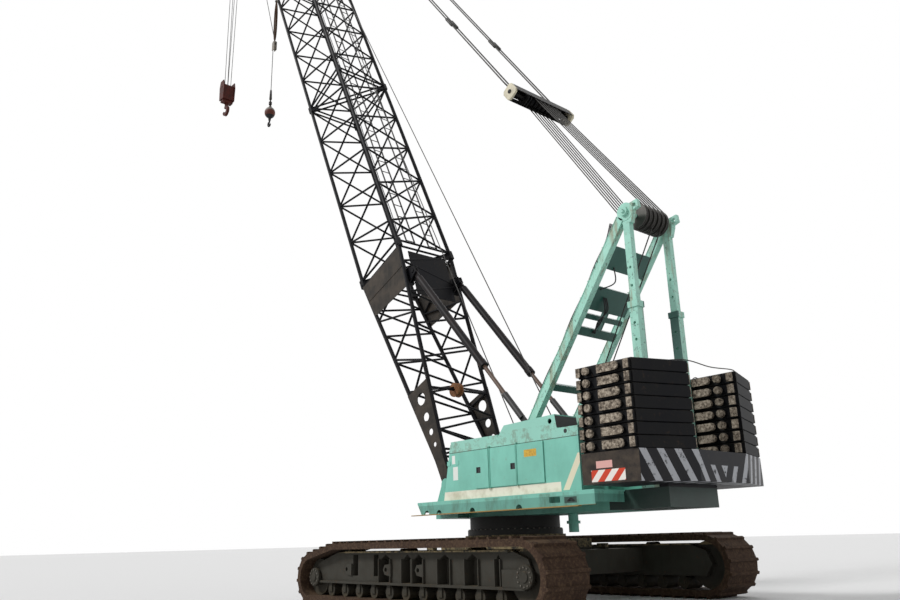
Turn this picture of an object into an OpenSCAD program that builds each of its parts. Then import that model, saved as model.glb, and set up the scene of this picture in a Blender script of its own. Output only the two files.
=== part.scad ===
// Lattice-boom crawler crane, about 150 t class, built as separate pieces in one frame.
// Frame: millimetres, +X towards the boom, +Z up, ground at z = 0, slew axis at x = y = 0.
// Each piece has its own module. The list NODES names them all.

/* [Tracks] */
// Overall length of a crawler track
track_length = 8360; // [8300:10:8420]
// Height of a crawler track over its shoes
track_height = 1400; // [1390:5:1410]
// Distance between the track centre lines
track_gauge = 5720; // [5700:10:5760]
// Width of a track shoe
shoe_width = 1130; // [1100:10:1160]
// Number of shoes on one track
shoe_count = 62; // [56:1:68]

/* [Upper] */
// Height of the underside of the revolving frame
frame_z = 1850; // [1830:5:1860]
// Height of the deck and frame top
deck_z = 2220; // [2210:5:2240]
// Half width over the side decks
deck_half = 1750; // [1730:5:1760]
// Half width over the machinery houses
house_half = 1600; // [1580:5:1610]
// Height of the house roof
roof_z = 3490; // [3450:10:3520]
// Thickness of the sheet panels
sheet = 30; // [24:1:34]

/* [Cab] */
// Length of the operator's cab
cab_length = 1620; // [1560:10:1660]
// Width of the operator's cab
cab_width = 930; // [900:5:950]
// Height of the cab roof
cab_top = 3860; // [3820:10:3900]

/* [Counterweight] */
// Thickness of one counterweight slab
slab_height = 237; // [230:1:240]
// Number of slabs in each stack
slab_count = 7; // [5:1:8]
// Height of the striped tray
tray_height = 570; // [550:5:600]

/* [Boom] */
// Boom angle above the horizontal in degrees
boom_angle = 65.5; // [65:0.5:66]
// Length of the boom butt
butt_length = 7200; // [7180:10:7220]
// Length of one boom insert
insert_length = 8250; // [8220:10:8280]
// Half the distance between chord centres
boom_half = 977; // [965:1:985]
// Diameter of the boom chords
chord_d = 116; // [100:2:124]
// Diameter of the lacing tubes
lace_d = 64; // [50:2:70]
// Number of lacing bays in one insert
bay_count = 5; // [4:1:6]

/* [Gantry] */
// Height of the gantry head shaft
gantry_z = 7950; // [7900:10:8000]
// Half the distance between gantry leg centres
leg_y = 710; // [706:1:714]
// Width of a gantry leg across the crane
leg_w = 140; // [130:2:144]
// Depth of a front gantry leg
leg_d = 300; // [260:5:310]

/* [Rigging] */
// Diameter of the boom pendant ropes
pendant_d = 44; // [36:2:50]
// Diameter of the hoist ropes
rope_d = 28; // [22:1:32]
// Height of the main hook block's top
block_z = 22600; // [22000:100:23200]
// Radius of the overhaul ball
ball_r = 240; // [200:5:260]

/* [Output] */
// Piece to build, or all of them

/* [Hidden] */

lower_grey = [0.36, 0.34, 0.28];
shoe_brown = [0.24, 0.18, 0.13];
green = [0.43, 0.70, 0.62];
mint = [0.58, 0.80, 0.72];
charcoal = [0.13, 0.13, 0.14];
navy = [0.10, 0.11, 0.14];
steel = [0.45, 0.45, 0.46];
rope_grey = [0.22, 0.22, 0.22];
hook_red = [0.42, 0.14, 0.10];

gap = 8;
seat = 0.3;
fit = 0.1;
big = 30;

// Track outline sizes
rear_r = track_height / 2;
front_r = 590;
rear_c = [-track_length / 2 + rear_r, rear_r];
front_c = [track_length / 2 - front_r, front_r];
carrier = [2600, track_height - 10];
shoe_t = 45;
loop_t = 180;
arc_step = 10;
track_y = track_gauge / 2;
frame_in = 430;
frame_out = 390;
roller_r = 140;
roller_n = 11;
roller_pitch = 575;
roller_x0 = -2750;
fork_in = 270;
axle_x = 1500;
axle_w = 560;

// Points of the track path at inset d from the outside
function tangent_up(c, r, p) = let(v = p - c, l = norm(v)) atan2(v[1], v[0]) - acos(r / l);
function tangent_back(c, r, p) = let(v = p - c, l = norm(v)) atan2(v[1], v[0]) + acos(r / l);
function arc_pts(c, r, a, b) = let(n = max(2, ceil(abs(b - a) / arc_step)))
  [for (i = [0:n]) let(t = a + (b - a) * i / n) c + r * [cos(t), sin(t)]];
function loop_pts(d) = let(top = carrier - [0, d], fa = tangent_up(front_c, front_r - d, top),
  ra = tangent_back(rear_c, rear_r - d, top))
  concat(arc_pts(front_c, front_r - d, -90, fa), [top], arc_pts(rear_c, rear_r - d, ra, 270));
function run(p) = [for (i = 0, s = 0; i <= len(p); s = s + norm(p[(i + 1) % len(p)] - p[i % len(p)]), i = i + 1) s];
function find(s, l, i = 0) = (i >= len(l) - 2 || l[i + 1] > s) ? i : find(s, l, i + 1);
function at(p, l, s, out) = let(i = find(s, l), n = len(p), a = p[i % n], b = p[(i + 1) % n],
  t = (s - l[i]) / max(0.001, l[i + 1] - l[i]), d = (b - a) / norm(b - a)) a + (b - a) * t + out * [d[1], -d[0]];

// Boom frame sizes
foot = [1150, 2640];
foot_y = 1040;
ca = cos(boom_angle);
sa = sin(boom_angle);
function bu(u, n) = [foot[0] + u * ca - n * sa, foot[1] + u * sa + n * ca];
tip_u = butt_length + 3 * insert_length + 7050;
sling_u = butt_length + 2 * insert_length - 1300;
stop_u = butt_length - 1125;
foot_pin_r = 60;

// Gantry sizes
head = [-4520, gantry_z];
leg_foot = [-600, 2640];
leg_dir = (leg_foot - head) / norm(leg_foot - head);
leg_len = norm(leg_foot - head);
leg_a = atan2(leg_dir[1], leg_dir[0]);
rear_x = -4530;

// Backstop sizes
stop_y = 820;
stop_low = [-1420, 3750];
stop_top = bu(stop_u, 1050);
stop_a = atan2(stop_top[1] - stop_low[1], stop_top[0] - stop_low[0]);
stop_len = norm(stop_top - stop_low);
tube_len = 4160;
sleeve_len = 1130;

// Hoist line sizes
line_end = bu(tip_u - 150, 900);
line_v = line_end - head;
line_a = atan2(line_v[1], line_v[0]);
line_len = norm(line_v);
bar_s = 5100;
groove = 25;
gantry_r = 290;
bar_r = 150;
block_r = 190;
whip_r = 120;
head_sheave = bu(tip_u, -900);
head_sheave_r = 425;
fall_x = head_sheave[0];
fall_y = [-210, -70, 70, 210];
function rope_on(r) = r - groove + rope_d / 2 + seat;
sling_p = bu(sling_u, -boom_half);
sling_y = boom_half + 120;

// Counterweight plan, left half from front to middle
tray_z = 2270;
tray_plan = [[-4750, 830], [-3990, 830], [-3990, 2130], [-5270, 2070], [-5670, 830]];

// Cylinder of diameter d between points a and b
module rod(a, b, d, fn = 6) {
  v = b - a;
  l = norm(v);
  translate(a) rotate([0, acos(v[2] / l), atan2(v[1], v[0])]) cylinder(h = l, d = d, $fn = fn);
}

// Flat plate in the XZ plane, from y to y + t
module side_plate(pts, y, t) {
  translate([0, y + t, 0]) rotate([90, 0, 0]) linear_extrude(t) polygon(pts);
}

// Box from low corner to high corner
module box(a, b) {
  translate(a) cube([b[0] - a[0], b[1] - a[1], b[2] - a[2]]);
}

// Round bar along Y at x, z from y0 to y1
module y_bar(c, y0, y1, d, fn = big) {
  translate([c[0], y1, c[1]]) rotate([90, 0, 0]) cylinder(h = y1 - y0, d = d, $fn = fn);
}

module mirror_y() {
  children();
  mirror([0, 1, 0]) children();
}

module carbody() {
  color(lower_grey) {
    difference() {
      box([-1250, -1250, 520], [1250, 1250, 1330]);
      box([-700, -1300, 400], [700, 1300, 700]);
    }
    for (x = [-axle_x, axle_x]) box([x - axle_w / 2, -track_y + frame_in, 560], [x + axle_w / 2, track_y - frame_in, 1080]);
    translate([0, 0, 1330]) cylinder(h = 110, r = 1180, $fn = 64);
    for (x = [-1, 1], y = [-1, 1]) box([x * axle_x - 120, y * 1330 - 60, 1080], [x * axle_x + 120, y * 1330 + 60, 1210]);
  }
}

module slew_ring() {
  color(steel) {
    translate([0, 0, 1440]) cylinder(h = 120, r = 1120, $fn = 64);
    translate([0, 0, 1560]) cylinder(h = frame_z - seat - 1560, r = 1060, $fn = 64);
  }
}

// Outline of one track frame in the XZ plane
frame_pts = [[-3450, 470], [3450, 470], [3620, 640], [3560, 900], [2750, 1130], [2300, 1160], [-3050, 1160], [-3500, 1000], [-3620, 720]];
pockets = [[1000, 600], [180, -130], [-190, -530], [-1010, -1380], [-1830, -2200], [-2670, -2800]];
slots = [[2060, 1860], [1250, 1070]];
carrier_x = [-1800, 400, 2400];

module track_frame(s) {
  color(lower_grey) translate([0, s * track_y, 0]) scale([1, s, 1]) {
    difference() {
      side_plate(frame_pts, -frame_in, frame_in + frame_out - 60);
      for (p = pockets) side_plate([[p[1], 520], [p[0], 520], [p[0], 980], [(p[0] + p[1]) / 2, 1090], [p[1], 980]], frame_out - 260, 300);
      for (p = slots) box([p[1], frame_out - 200, 640], [p[0], frame_out + 10, 1090]);
      box([-3700, -fork_in, 400], [-2940, fork_in, 1200]);
      box([3160, -fork_in, 400], [3700, fork_in, 1200]);
      for (x = carrier_x) box([x - 85, -200, 1050], [x + 85, 200, 1200]);
    }
    for (i = [0:roller_n - 1], y = [-330, 300]) let(x = roller_x0 + i * roller_pitch)
      box([x - 60, y, loop_t + roller_r - 40], [x + 60, y + 30, 480]);
    box([-3450, frame_out - 60, 470], [3450, frame_out, 520]);
    box([-3050, frame_out - 60, 1110], [2300, frame_out, 1160]);
    for (p = pockets) for (x = [p[0], p[1] - 24]) box([x, frame_out - 60, 520], [x + 24, frame_out - 12, 1000]);
    box([-3400, frame_out - 60, 520], [-2880, frame_out + 10, 820]);
    for (x = [2080, 560, -560]) difference() {
      side_plate([[x, 640], [x + 230, 680], [x + 290, 780], [x + 230, 880], [x, 900]], frame_out - 60, 40);
      y_bar([x + 190, 780], frame_out - 80, frame_out + 20, 90);
    }
  }
}

module track_loop(s) {
  outer = loop_pts(0);
  l = run(outer);
  pitch = l[len(l) - 1] / shoe_count;
  pts = [for (i = [0:shoe_count - 1], k = [[0, -shoe_t], [0.72, -shoe_t], [0.76, 0], [0.96, 0]]) at(outer, l, (i + k[0]) * pitch, k[1])];
  inner = loop_pts(loop_t);
  color(shoe_brown) translate([0, s * track_y + shoe_width / 2, 0]) rotate([90, 0, 0]) linear_extrude(shoe_width)
    difference() {
      polygon(pts);
      polygon(inner);
    }
}

module wheels(s) {
  k = cos(arc_step / 2);
  color(lower_grey) {
    for (c = [[rear_c, (rear_r - loop_t) * k], [front_c, (front_r - loop_t) * k]]) {
      y_bar(c[0], s * track_y - 250, s * track_y + 250, 2 * c[1] - 2, 48);
      y_bar(c[0], s * track_y - fork_in, s * track_y + fork_in, 300);
    }
    for (i = [0:roller_n - 1]) let(x = roller_x0 + i * roller_pitch)
      y_bar([x, loop_t + roller_r], s * track_y - 300, s * track_y + 300, 2 * roller_r, 24);
    for (x = carrier_x) y_bar([x, 1138], s * track_y - 200, s * track_y + 200, 140, 24);
  }
}

module revolving_frame() {
  color(green) {
    box([-4950, -820, frame_z], [1500, 820, deck_z]);
    box([700, -1180, frame_z], [1500, 1180, deck_z]);
    mirror_y() for (y = [foot_y - 125, foot_y + 65 + gap]) difference() {
      union() {
        side_plate([[820, deck_z], [1480, deck_z], [1290, foot[1]], [1010, foot[1]]], y, 52);
        y_bar(foot, y, y + 52, 300);
      }
    }
    mirror_y() y_bar(foot, foot_y - 125, foot_y + 125, 2 * foot_pin_r);
    mirror_y() side_plate([[-2400, deck_z], [-100, deck_z], [-100, 2900], [-500, 3150], [-1900, 3150], [-2400, 2800]], 560, 40);
    mirror_y() side_plate([[-900, deck_z], [-300, deck_z], [-450, 2780], [-750, 2780]], leg_y - leg_w / 2 - 60, 52);
    translate([-1830, 0, 1460]) cylinder(h = frame_z - 1460, r = 110, $fn = 24);
    translate([-1830, 0, 1640]) cylinder(h = 60, r = 150, $fn = 24);
  }
}

module deck_plate(x1) {
  color(green) difference() {
    union() {
    box([-3930, 820, deck_z - 30], [x1, deck_half, deck_z]);
    difference() {
      side_plate([[-3930, deck_z - 280], [1350, deck_z - 280], [1500, deck_z - 30], [-3930, deck_z - 30]], deck_half - 30, 30);
      for (x = [1150, 700, -450, -1900]) y_bar([x, deck_z - 280], deck_half - 40, deck_half + 10, 180, 24);
      box([-3050, deck_half - 40, deck_z - 210], [-2760, deck_half + 10, deck_z - 90]);
    }
    for (x = [-3900, -2600, -1300, 0, 1280]) box([x, 820, deck_z - 230], [x + 30, deck_half - 30, deck_z - 30]);
    box([-3540, deck_half - 60, deck_z - 300], [1700, deck_half + 40, deck_z - 280]);
    }
    box([700, 800, frame_z - 100], [1500, 1180, deck_z + 10]);
  }
}

module deck_left() {
  deck_plate(1500);
}

module deck_right() {
  mirror([0, 1, 0]) deck_plate(600);
  color(green) box([700, -2150, deck_z - 100], [700 + cab_length, -1180, deck_z]);
}

// Side outline of a machinery house
house_pts = [[690, deck_z], [420, roof_z], [-3500, roof_z], [-3500, deck_z]];
house_in = [[690 - 1.3 * sheet, deck_z - 10], [420 - 1.3 * sheet, roof_z - sheet], [-3500 + sheet, roof_z - sheet], [-3500 + sheet, deck_z - 10]];
door_z = [2440, 3280];
doors = [[-900, -440], [-1740, -920], [-2550, -1760]];
roof = [[-1190, roof_z], [-1400, roof_z + 240], [-2900, roof_z + 295], [-2950, roof_z]];
function door_hinge_x(i) = i == 0 ? doors[i][0] + 12 : doors[i][1] - 12;
house_y = 930;

module house_shell() {
  difference() {
    side_plate(house_pts, house_y, house_half - house_y);
    side_plate(house_in, house_y + sheet, house_half - house_y - 2 * sheet);
    for (d = doors) box([d[0] + 25, house_half - 2 * sheet, door_z[0] + 25], [d[1] - 25, house_half + 20, door_z[1] - 25]);
  }
}

module house_left() {
  color(green) {
    house_shell();
    for (x = [430, 130]) box([x, house_half, 3010], [x + 110, house_half + 8, 3110]);
    for (i = [0:2]) {
      x = door_hinge_x(i);
      for (z = [door_z[0] - 46 - seat, door_z[1] + 6 + seat]) {
        translate([x, house_half + 34, z]) cylinder(h = 40, r = 12, $fn = 16);
        box([x - 10, house_half, z], [x + 10, house_half + 34, z + 40]);
      }
    }
    difference() {
      side_plate(roof, house_y, house_half - house_y);
      side_plate([[-1225, roof_z - 10], [-1410, roof_z + 215], [-2870, roof_z + 265], [-2915, roof_z - 10]], house_y + 25, house_half - house_y - 50);
      y_bar([-2760, roof_z + 165], house_half - 40, house_half + 20, 110);
    }
    box([-1190, house_half - 30, roof_z], [400, house_half, roof_z + 60]);
  }
}

module door(i) {
  d = doors[i];
  color(green) difference() {
    union() {
      box([d[0], house_half + 8, door_z[0]], [d[1], house_half + 28, door_z[1]]);
      translate([door_hinge_x(i), house_half + 34, door_z[0] - 6]) cylinder(h = door_z[1] - door_z[0] + 12, r = 12, $fn = 16);
    }
    if (i < 2) box([(i == 0 ? d[1] - 180 : d[0] + 30), house_half + 14, 2780], [(i == 0 ? d[1] - 60 : d[0] + 150), house_half + 40, 2890]);
  }
}

module house_right() {
  color(green) mirror([0, 1, 0]) {
    difference() {
      side_plate(house_pts, house_y, house_half - house_y);
      side_plate(house_in, house_y + sheet, house_half - house_y - 2 * sheet);
    }
    for (d = doors) box([d[0], house_half, door_z[0]], [d[1], house_half + 12, door_z[1]]);
  }
}

module engine() {
  color(charcoal) box([-3000, house_y + 60, deck_z], [-600, house_half - 120, 3200]);
}

module drum(c, w, r, n) {
  y_bar(c, -w, w, 2 * r, 40);
  y_bar(c, -560 + seat, 560 - seat, 120);
  for (y = n) y_bar(c, y - 12, y + 12, 2 * r + 240, 40);
}

drum_front_c = [-430, 2760];
drum_boom_c = [-1700, 2740];

module drum_front() {
  color(steel) drum(drum_front_c, 540, 250, [-528, 0, 528]);
}

module drum_boom() {
  color(steel) drum(drum_boom_c, 540, 230, [-528, 528]);
}

cab_x = 700;
cab_y = -1210;
cab_z = deck_z;

module cab_shell() {
  p = [[cab_x, cab_z], [cab_x, cab_top], [cab_x + cab_length - 250, cab_top], [cab_x + cab_length, 3150], [cab_x + cab_length, cab_z]];
  q = [[cab_x + 45, cab_z + 45], [cab_x + 45, cab_top - 45], [cab_x + cab_length - 280, cab_top - 45], [cab_x + cab_length - 45, 3140], [cab_x + cab_length - 45, cab_z + 45]];
  y1 = cab_y;
  y0 = cab_y - cab_width;
  color(green) {
    difference() {
      side_plate(p, y0, cab_width);
      side_plate(q, y0 + 45, cab_width - 90);
      box([cab_x + 760, y0 - 10, cab_z + 80], [cab_x + 1440, y0 + 60, 3160]);
      side_plate([[cab_x + 760, 3150], [cab_x + 760, cab_top - 120], [cab_x + cab_length - 330, cab_top - 120], [cab_x + 1440, 3280], [cab_x + 1440, 3150]], y0 - 10, 70);
      side_plate([[cab_x + 120, 3000], [cab_x + 120, cab_top - 120], [cab_x + 640, cab_top - 120], [cab_x + 640, 3000]], y0 - 10, cab_width + 20);
      side_plate([[cab_x + 760, 2900], [cab_x + 760, cab_top - 120], [cab_x + cab_length - 330, cab_top - 120], [cab_x + 1500, 3180], [cab_x + 1500, 2900]], y1 - 60, 70);
      box([cab_x + cab_length - 60, y0 + 80, cab_z + 350], [cab_x + cab_length + 10, y1 - 80, 3080]);
      translate([cab_x + cab_length, 0, 3150]) rotate([0, -atan2(cab_top - 3150, -250) + 0, 0])
        box([70, y0 + 80, -60], [690, y1 - 80, 60]);
      box([cab_x - 10, y0 + 120, 3100], [cab_x + 60, y1 - 120, cab_top - 140]);
    }
    for (z = [cab_z + 44 - 40 - seat, cab_top - 84 + seat]) {
      translate([cab_x + 710, y0 - 30, z]) cylinder(h = 40, r = 14, $fn = 16);
      box([cab_x + 698, y0 - 30, z], [cab_x + 722, y0 + 10, z + 40]);
    }
  }
}

module cab_glass() {
  y1 = cab_y;
  y0 = cab_y - cab_width;
  color([0.3, 0.36, 0.38, 0.5]) {
    side_plate([[cab_x + 120, 3000], [cab_x + 120, cab_top - 120], [cab_x + 640, cab_top - 120], [cab_x + 640, 3000]], y0 + 18, 8);
    side_plate([[cab_x + 120, 3000], [cab_x + 120, cab_top - 120], [cab_x + 640, cab_top - 120], [cab_x + 640, 3000]], y1 - 26, 8);
    side_plate([[cab_x + 760, 2900], [cab_x + 760, cab_top - 120], [cab_x + cab_length - 330, cab_top - 120], [cab_x + 1500, 3180], [cab_x + 1500, 2900]], y1 - 26, 8);
    box([cab_x + cab_length - 26, y0 + 80, cab_z + 350], [cab_x + cab_length - 18, y1 - 80, 3080]);
    translate([cab_x + cab_length, 0, 3150]) rotate([0, -atan2(cab_top - 3150, -250), 0]) box([70, y0 + 80, 14], [690, y1 - 80, 22]);
    box([cab_x + 16, y0 + 120, 3100], [cab_x + 24, y1 - 120, cab_top - 140]);
  }
}

module cab_door() {
  y0 = cab_y - cab_width;
  p = [[cab_x + 720, cab_z + 50], [cab_x + 720, cab_top - 90], [cab_x + cab_length - 320, cab_top - 90], [cab_x + 1480, 3260], [cab_x + 1480, cab_z + 50]];
  color(green) difference() {
    union() {
      side_plate(p, y0 - 34, 28);
      translate([cab_x + 710, y0 - 30, cab_z + 44]) cylinder(h = cab_top - 134 - cab_z + 6, r = 14, $fn = 16);
      box([cab_x + 1390, y0 - 60, 3020], [cab_x + 1420, y0 - 34, 3180]);
    }
    side_plate([[cab_x + 800, 3000], [cab_x + 800, cab_top - 170], [cab_x + cab_length - 370, cab_top - 170], [cab_x + 1400, 3220], [cab_x + 1400, 3000]], y0 - 40, 40);
  }
}

module cab_seat() {
  y = cab_y - cab_width / 2;
  color(charcoal) {
    box([cab_x + 330, y - 130, cab_z + 45], [cab_x + 620, y + 130, cab_z + 420]);
    box([cab_x + 250, y - 240, cab_z + 420], [cab_x + 760, y + 240, cab_z + 540]);
    side_plate([[cab_x + 250, cab_z + 540], [cab_x + 170, cab_z + 1120], [cab_x + 270, cab_z + 1120], [cab_x + 370, cab_z + 540]], y - 230, 460);
    for (s = [-1, 1]) box([cab_x + 300, y + s * 330 - 70, cab_z + 45], [cab_x + 760, y + s * 330 + 70, cab_z + 640]);
    for (s = [-1, 1]) translate([cab_x + 700, y + s * 330, cab_z + 640]) cylinder(h = 260, r = 18, $fn = 16);
    box([cab_x + 1200, y - 250, cab_z + 45], [cab_x + 1340, y + 250, cab_z + 300]);
  }
}

// Left and right outline of the tray in plan
function mirror_pts(p) = concat(p, [for (i = [len(p) - 1:-1:0]) [p[i][0], -p[i][1]]]);

module counterweight_tray() {
  color(charcoal) {
    translate([0, 0, tray_z]) linear_extrude(tray_height) polygon(mirror_pts(tray_plan));
    box([-4950, -820, deck_z], [-4750, 820, tray_z]);
  }
}

slab_plan = [[-3990, 2130], [-5260, 2070], [-5660, 850], [-4010, 880]];

module slab(z) {
  difference() {
    translate([0, 0, z + 6]) linear_extrude(slab_height - 12) polygon(slab_plan);
    box([-4420, 2020, z + 60], [-4180, 2160, z + slab_height - 40]);
  }
  translate([0, 0, z]) linear_extrude(6) polygon([for (p = slab_plan) [p[0] + (p[0] < -4600 ? 20 : -20), p[1] + (p[1] > 1500 ? -20 : 20)]]);
  translate([0, 0, z + slab_height - 6]) linear_extrude(6) polygon([for (p = slab_plan) [p[0] + (p[0] < -4600 ? 20 : -20), p[1] + (p[1] > 1500 ? -20 : 20)]]);
  y_bar([-4120, z + slab_height / 2], 2060, 2170, 150, 24);
  box([-4830, 2060, z + 70], [-4560, 2130, z + slab_height - 70]);
}

module counterweight_slabs() {
  color(charcoal) mirror_y() for (i = [0:slab_count - 1]) slab(tray_z + tray_height + i * slab_height);
}

// Place children in the frame of the front gantry legs, x from head to foot
module at_leg() {
  translate([head[0], 0, head[1]]) rotate([0, -leg_a, 0]) children();
}

cross_plates = [[745, 1280], [1690, 2240], [2900, 3060], [4100, 4260]];

module gantry_front() {
  color(mint) {
    mirror_y() difference() {
      union() {
        at_leg() box([150, leg_y - leg_w / 2, -leg_d / 2], [leg_len - 150, leg_y + leg_w / 2, leg_d / 2]);
        y_bar(leg_foot, leg_y - leg_w / 2 + gap, leg_y + leg_w / 2, 320);
        side_plate([[head[0] - 330, head[1] - 40], [head[0] - 330, head[1] + 190], [head[0] - 150, head[1] + 230], [head[0] + 200, head[1] + 420], [head[0] + 330, head[1] + 330], [head[0] + 420, head[1] - 320], [head[0] + 120, head[1] - 320]], leg_y - leg_w / 2, leg_w);
      }
      y_bar([head[0] - 240, head[1] + 110], leg_y - 100, leg_y + 100, 90);
      box([rear_x - 100, leg_y - 90, 7000], [rear_x + 90, leg_y + 90, 7700]);
    }
    at_leg() for (c = cross_plates) box([c[0], -leg_y + leg_w / 2, -40], [c[1], leg_y - leg_w / 2, 40]);
    at_leg() for (s = [1480, 2600, 3500, 4700, 5300, 5900]) rod([s, -leg_y + leg_w / 2, 60], [s, leg_y - leg_w / 2, 60], 60, 12);
    mirror_y() y_bar(leg_foot, leg_y - leg_w / 2 - gap, leg_y + leg_w / 2 + 40, 110);
    mirror_y() y_bar(stop_low, leg_y + leg_w / 2, stop_y + 60, 90);
    y_bar(head, -leg_y + leg_w / 2, leg_y - leg_w / 2, 110);
    mirror_y() y_bar(head, leg_y + leg_w / 2, leg_y + leg_w / 2 + 60, 190);
  }
}

module gantry_rear() {
  color(mint) mirror_y() {
    difference() {
      union() {
        box([rear_x - 80, leg_y - leg_w / 2, 4700], [rear_x + 80, leg_y + leg_w / 2, 7700]);
        box([rear_x - 102, leg_y - 98, deck_z + 60], [rear_x + 102, leg_y + 98, 5880]);
        box([rear_x - 125, leg_y - 118, 5830], [rear_x + 125, leg_y + 118, 5960]);
      }
      for (z = [5150, 5500, 6300, 6700]) y_bar([rear_x, z], leg_y - 150, leg_y + 150, 60, 20);
    }
    box([rear_x - 200, leg_y - 98, deck_z], [rear_x + 200, leg_y + 98, deck_z + 60]);
  }
}

// Grooved sheave of flange radius r, the groove's floor lies at r - groove
module sheave(c, y, r) {
  y_bar(c, y - 29, y + 29, 2 * (r - groove), 48);
  for (s = [-1, 1]) y_bar(c, y + s * 29 - 6, y + s * 29 + 6, 2 * r, 48);
}

module gantry_head() {
  color(steel) difference() {
    for (i = [0:5]) sheave(head, (i - 2.5) * 150, gantry_r);
    y_bar(head, -620, 620, 110 + 2 * fit);
  }
}

// Place children along the hoist line, x from the gantry head to the boom tip
module at_line() {
  translate([head[0], 0, head[1]]) rotate([0, -line_a, 0]) children();
}

module reeving() {
  color(rope_grey) at_line() for (i = [0:5]) for (s = [-1, 1])
    rod([0, (i - 2.5) * 150, s * rope_on(gantry_r)], [bar_s, (i - 2.5) * 150, s * rope_on(bar_r)], rope_d, 8);
}

module spreader() {
  color(charcoal) {
    at_line() {
      for (y = [-1100, 1040]) box([bar_s - 260, y, -190], [bar_s + 260, y + 60, 190]);
      box([bar_s + 160, -1040, 50], [bar_s + 240, 1040, 100]);
      box([bar_s + 160, -1040, -100], [bar_s + 240, 1040, -50]);
      for (y = [-850, 850]) box([bar_s + 20, y - 90, -60], [bar_s + 360, y + 90, 60]);
      translate([bar_s, 0, 0]) rotate([90, 0, 0]) translate([0, 0, -1120]) cylinder(h = 2240, d = 110, $fn = 24);
    }
  }
  color(steel) at_line() for (i = [0:5]) sheave([bar_s, 0], (i - 2.5) * 150, bar_r);
}

module pendants() {
  color(rope_grey) at_line() for (y = [-910, -790, 790, 910]) rod([bar_s + 360, y, 0], [line_len - 60, y, 0], pendant_d, 8);
}

// Place children in the boom's frame, x along the boom and z to its rear face
module at_boom() {
  translate([foot[0], 0, foot[1]]) rotate([0, -boom_angle, 0]) children();
}

// Half sizes of the boom section at distance u
top_u = butt_length + 3 * insert_length;
function half_n(u) = u < butt_length ? 60 + (boom_half - 60) * u / butt_length : u < top_u ? boom_half : boom_half + (420 - boom_half) * (u - top_u) / (tip_u - top_u);
function half_y(u) = u < butt_length ? foot_y + (boom_half - foot_y) * u / butt_length : u < top_u ? boom_half : boom_half + (560 - boom_half) * (u - top_u) / (tip_u - top_u);
function corner(u, c) = [u, c[0] * half_y(u), c[1] * half_n(u)];
corners = [[1, -1], [1, 1], [-1, 1], [-1, -1]];

// One lattice section from u0 to u1 with n bays
module lattice(u0, u1, n, m = 110, brace = true) {
  for (c = corners) rod(corner(u0 + gap, c), corner(u1 - gap, c), chord_d, 12);
  bay = (u1 - u0 - 2 * m) / n;
  for (k = [0:3]) let(a = corners[k], b = corners[(k + 1) % 4]) {
    for (e = [u0 + m, u1 - m]) rod(corner(e, a), corner(e, b), lace_d, 8);
    for (i = [0:n - 1]) let(p = u0 + m + i * bay, o = (k % 2 == 0) ? [a, b] : [b, a]) {
      rod(corner(p, o[0]), corner(p + bay / 2, o[1]), lace_d, 8);
      rod(corner(p + bay / 2, o[1]), corner(p + bay, o[0]), lace_d, 8);
    }
  }
  if (brace) for (e = [u0 + m, u1 - m]) rod(corner(e, corners[0]), corner(e, corners[2]), lace_d, 8);
}

// Pin lugs at the end of a section
module end_lugs(u, s) {
  for (c = corners) translate(corner(u, c)) box([s > 0 ? 0 : -150, -55, -80], [s > 0 ? 150 : 0, 55, 80]);
}

module boom_insert(i) {
  u0 = butt_length + i * insert_length;
  color(navy) at_boom() {
    lattice(u0, u0 + insert_length, bay_count);
    end_lugs(u0, 1);
    end_lugs(u0 + insert_length, -1);
    if (i == 1) {
      translate([sling_u, sling_y + 36, -boom_half]) rotate([90, 0, 0]) cylinder(h = 140, r = 22, $fn = 24);
      translate([sling_u, sling_y + 50, -boom_half]) rotate([90, 0, 0]) cylinder(h = 14, r = 44, $fn = 24);
    }
  }
}

// Side plates at the butt's end and the backstops' ears, in the boom's frame
hip_outline = [
  [butt_length - 100, -960],
  [butt_length - 250, 950],
  [butt_length - 1600, 770],
  [butt_length - 1400, -800]
];
ear_outline = [[stop_u - 225, 780], [stop_u + 275, 780], [stop_u + 105, 1150], [stop_u - 105, 1150]];

module boom_butt() {
  color(navy) at_boom() {
    difference() {
      union() {
        lattice(0, butt_length, 6, 900, false);
        end_lugs(butt_length, -1);
        for (s = [-1, 1]) translate([0, s * foot_y, 0]) {
          translate([0, 65, 0]) rotate([90, 0, 0]) cylinder(h = 130, r = 150, $fn = big);
          side_plate([[-40, -140], [-40, 140], [1500, 250], [1500, -250]], -65, 130);
        }
        mirror_y() side_plate(hip_outline, boom_half + 45, 20);
        box([butt_length - 1800, -680, boom_half * 0.9], [butt_length - 250, 680, boom_half * 0.9 + 20]);
        mirror_y() for (y = [stop_y - 72, stop_y + 32]) side_plate(ear_outline, y, 40);
        mirror_y() box([stop_u - 225, 690, 700], [stop_u + 275, 985, 790]);
        mirror_y() for (y = [stop_y - 52, stop_y + 92]) translate([stop_u, y, 1050]) rotate([90, 0, 0]) cylinder(h = 40, r = 60, $fn = 24);
      }
      for (s = [-1, 1]) translate([0, s * foot_y + 80, 0]) rotate([90, 0, 0]) cylinder(h = 160, r = foot_pin_r + fit, $fn = big);
      for (p = [[butt_length - 700, 300], [butt_length - 1150, -350]]) mirror_y() translate([p[0], boom_half + 75, p[1]]) rotate([90, 0, 0]) cylinder(h = 32, r = 60, $fn = 20);
    }
  }
}

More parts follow.
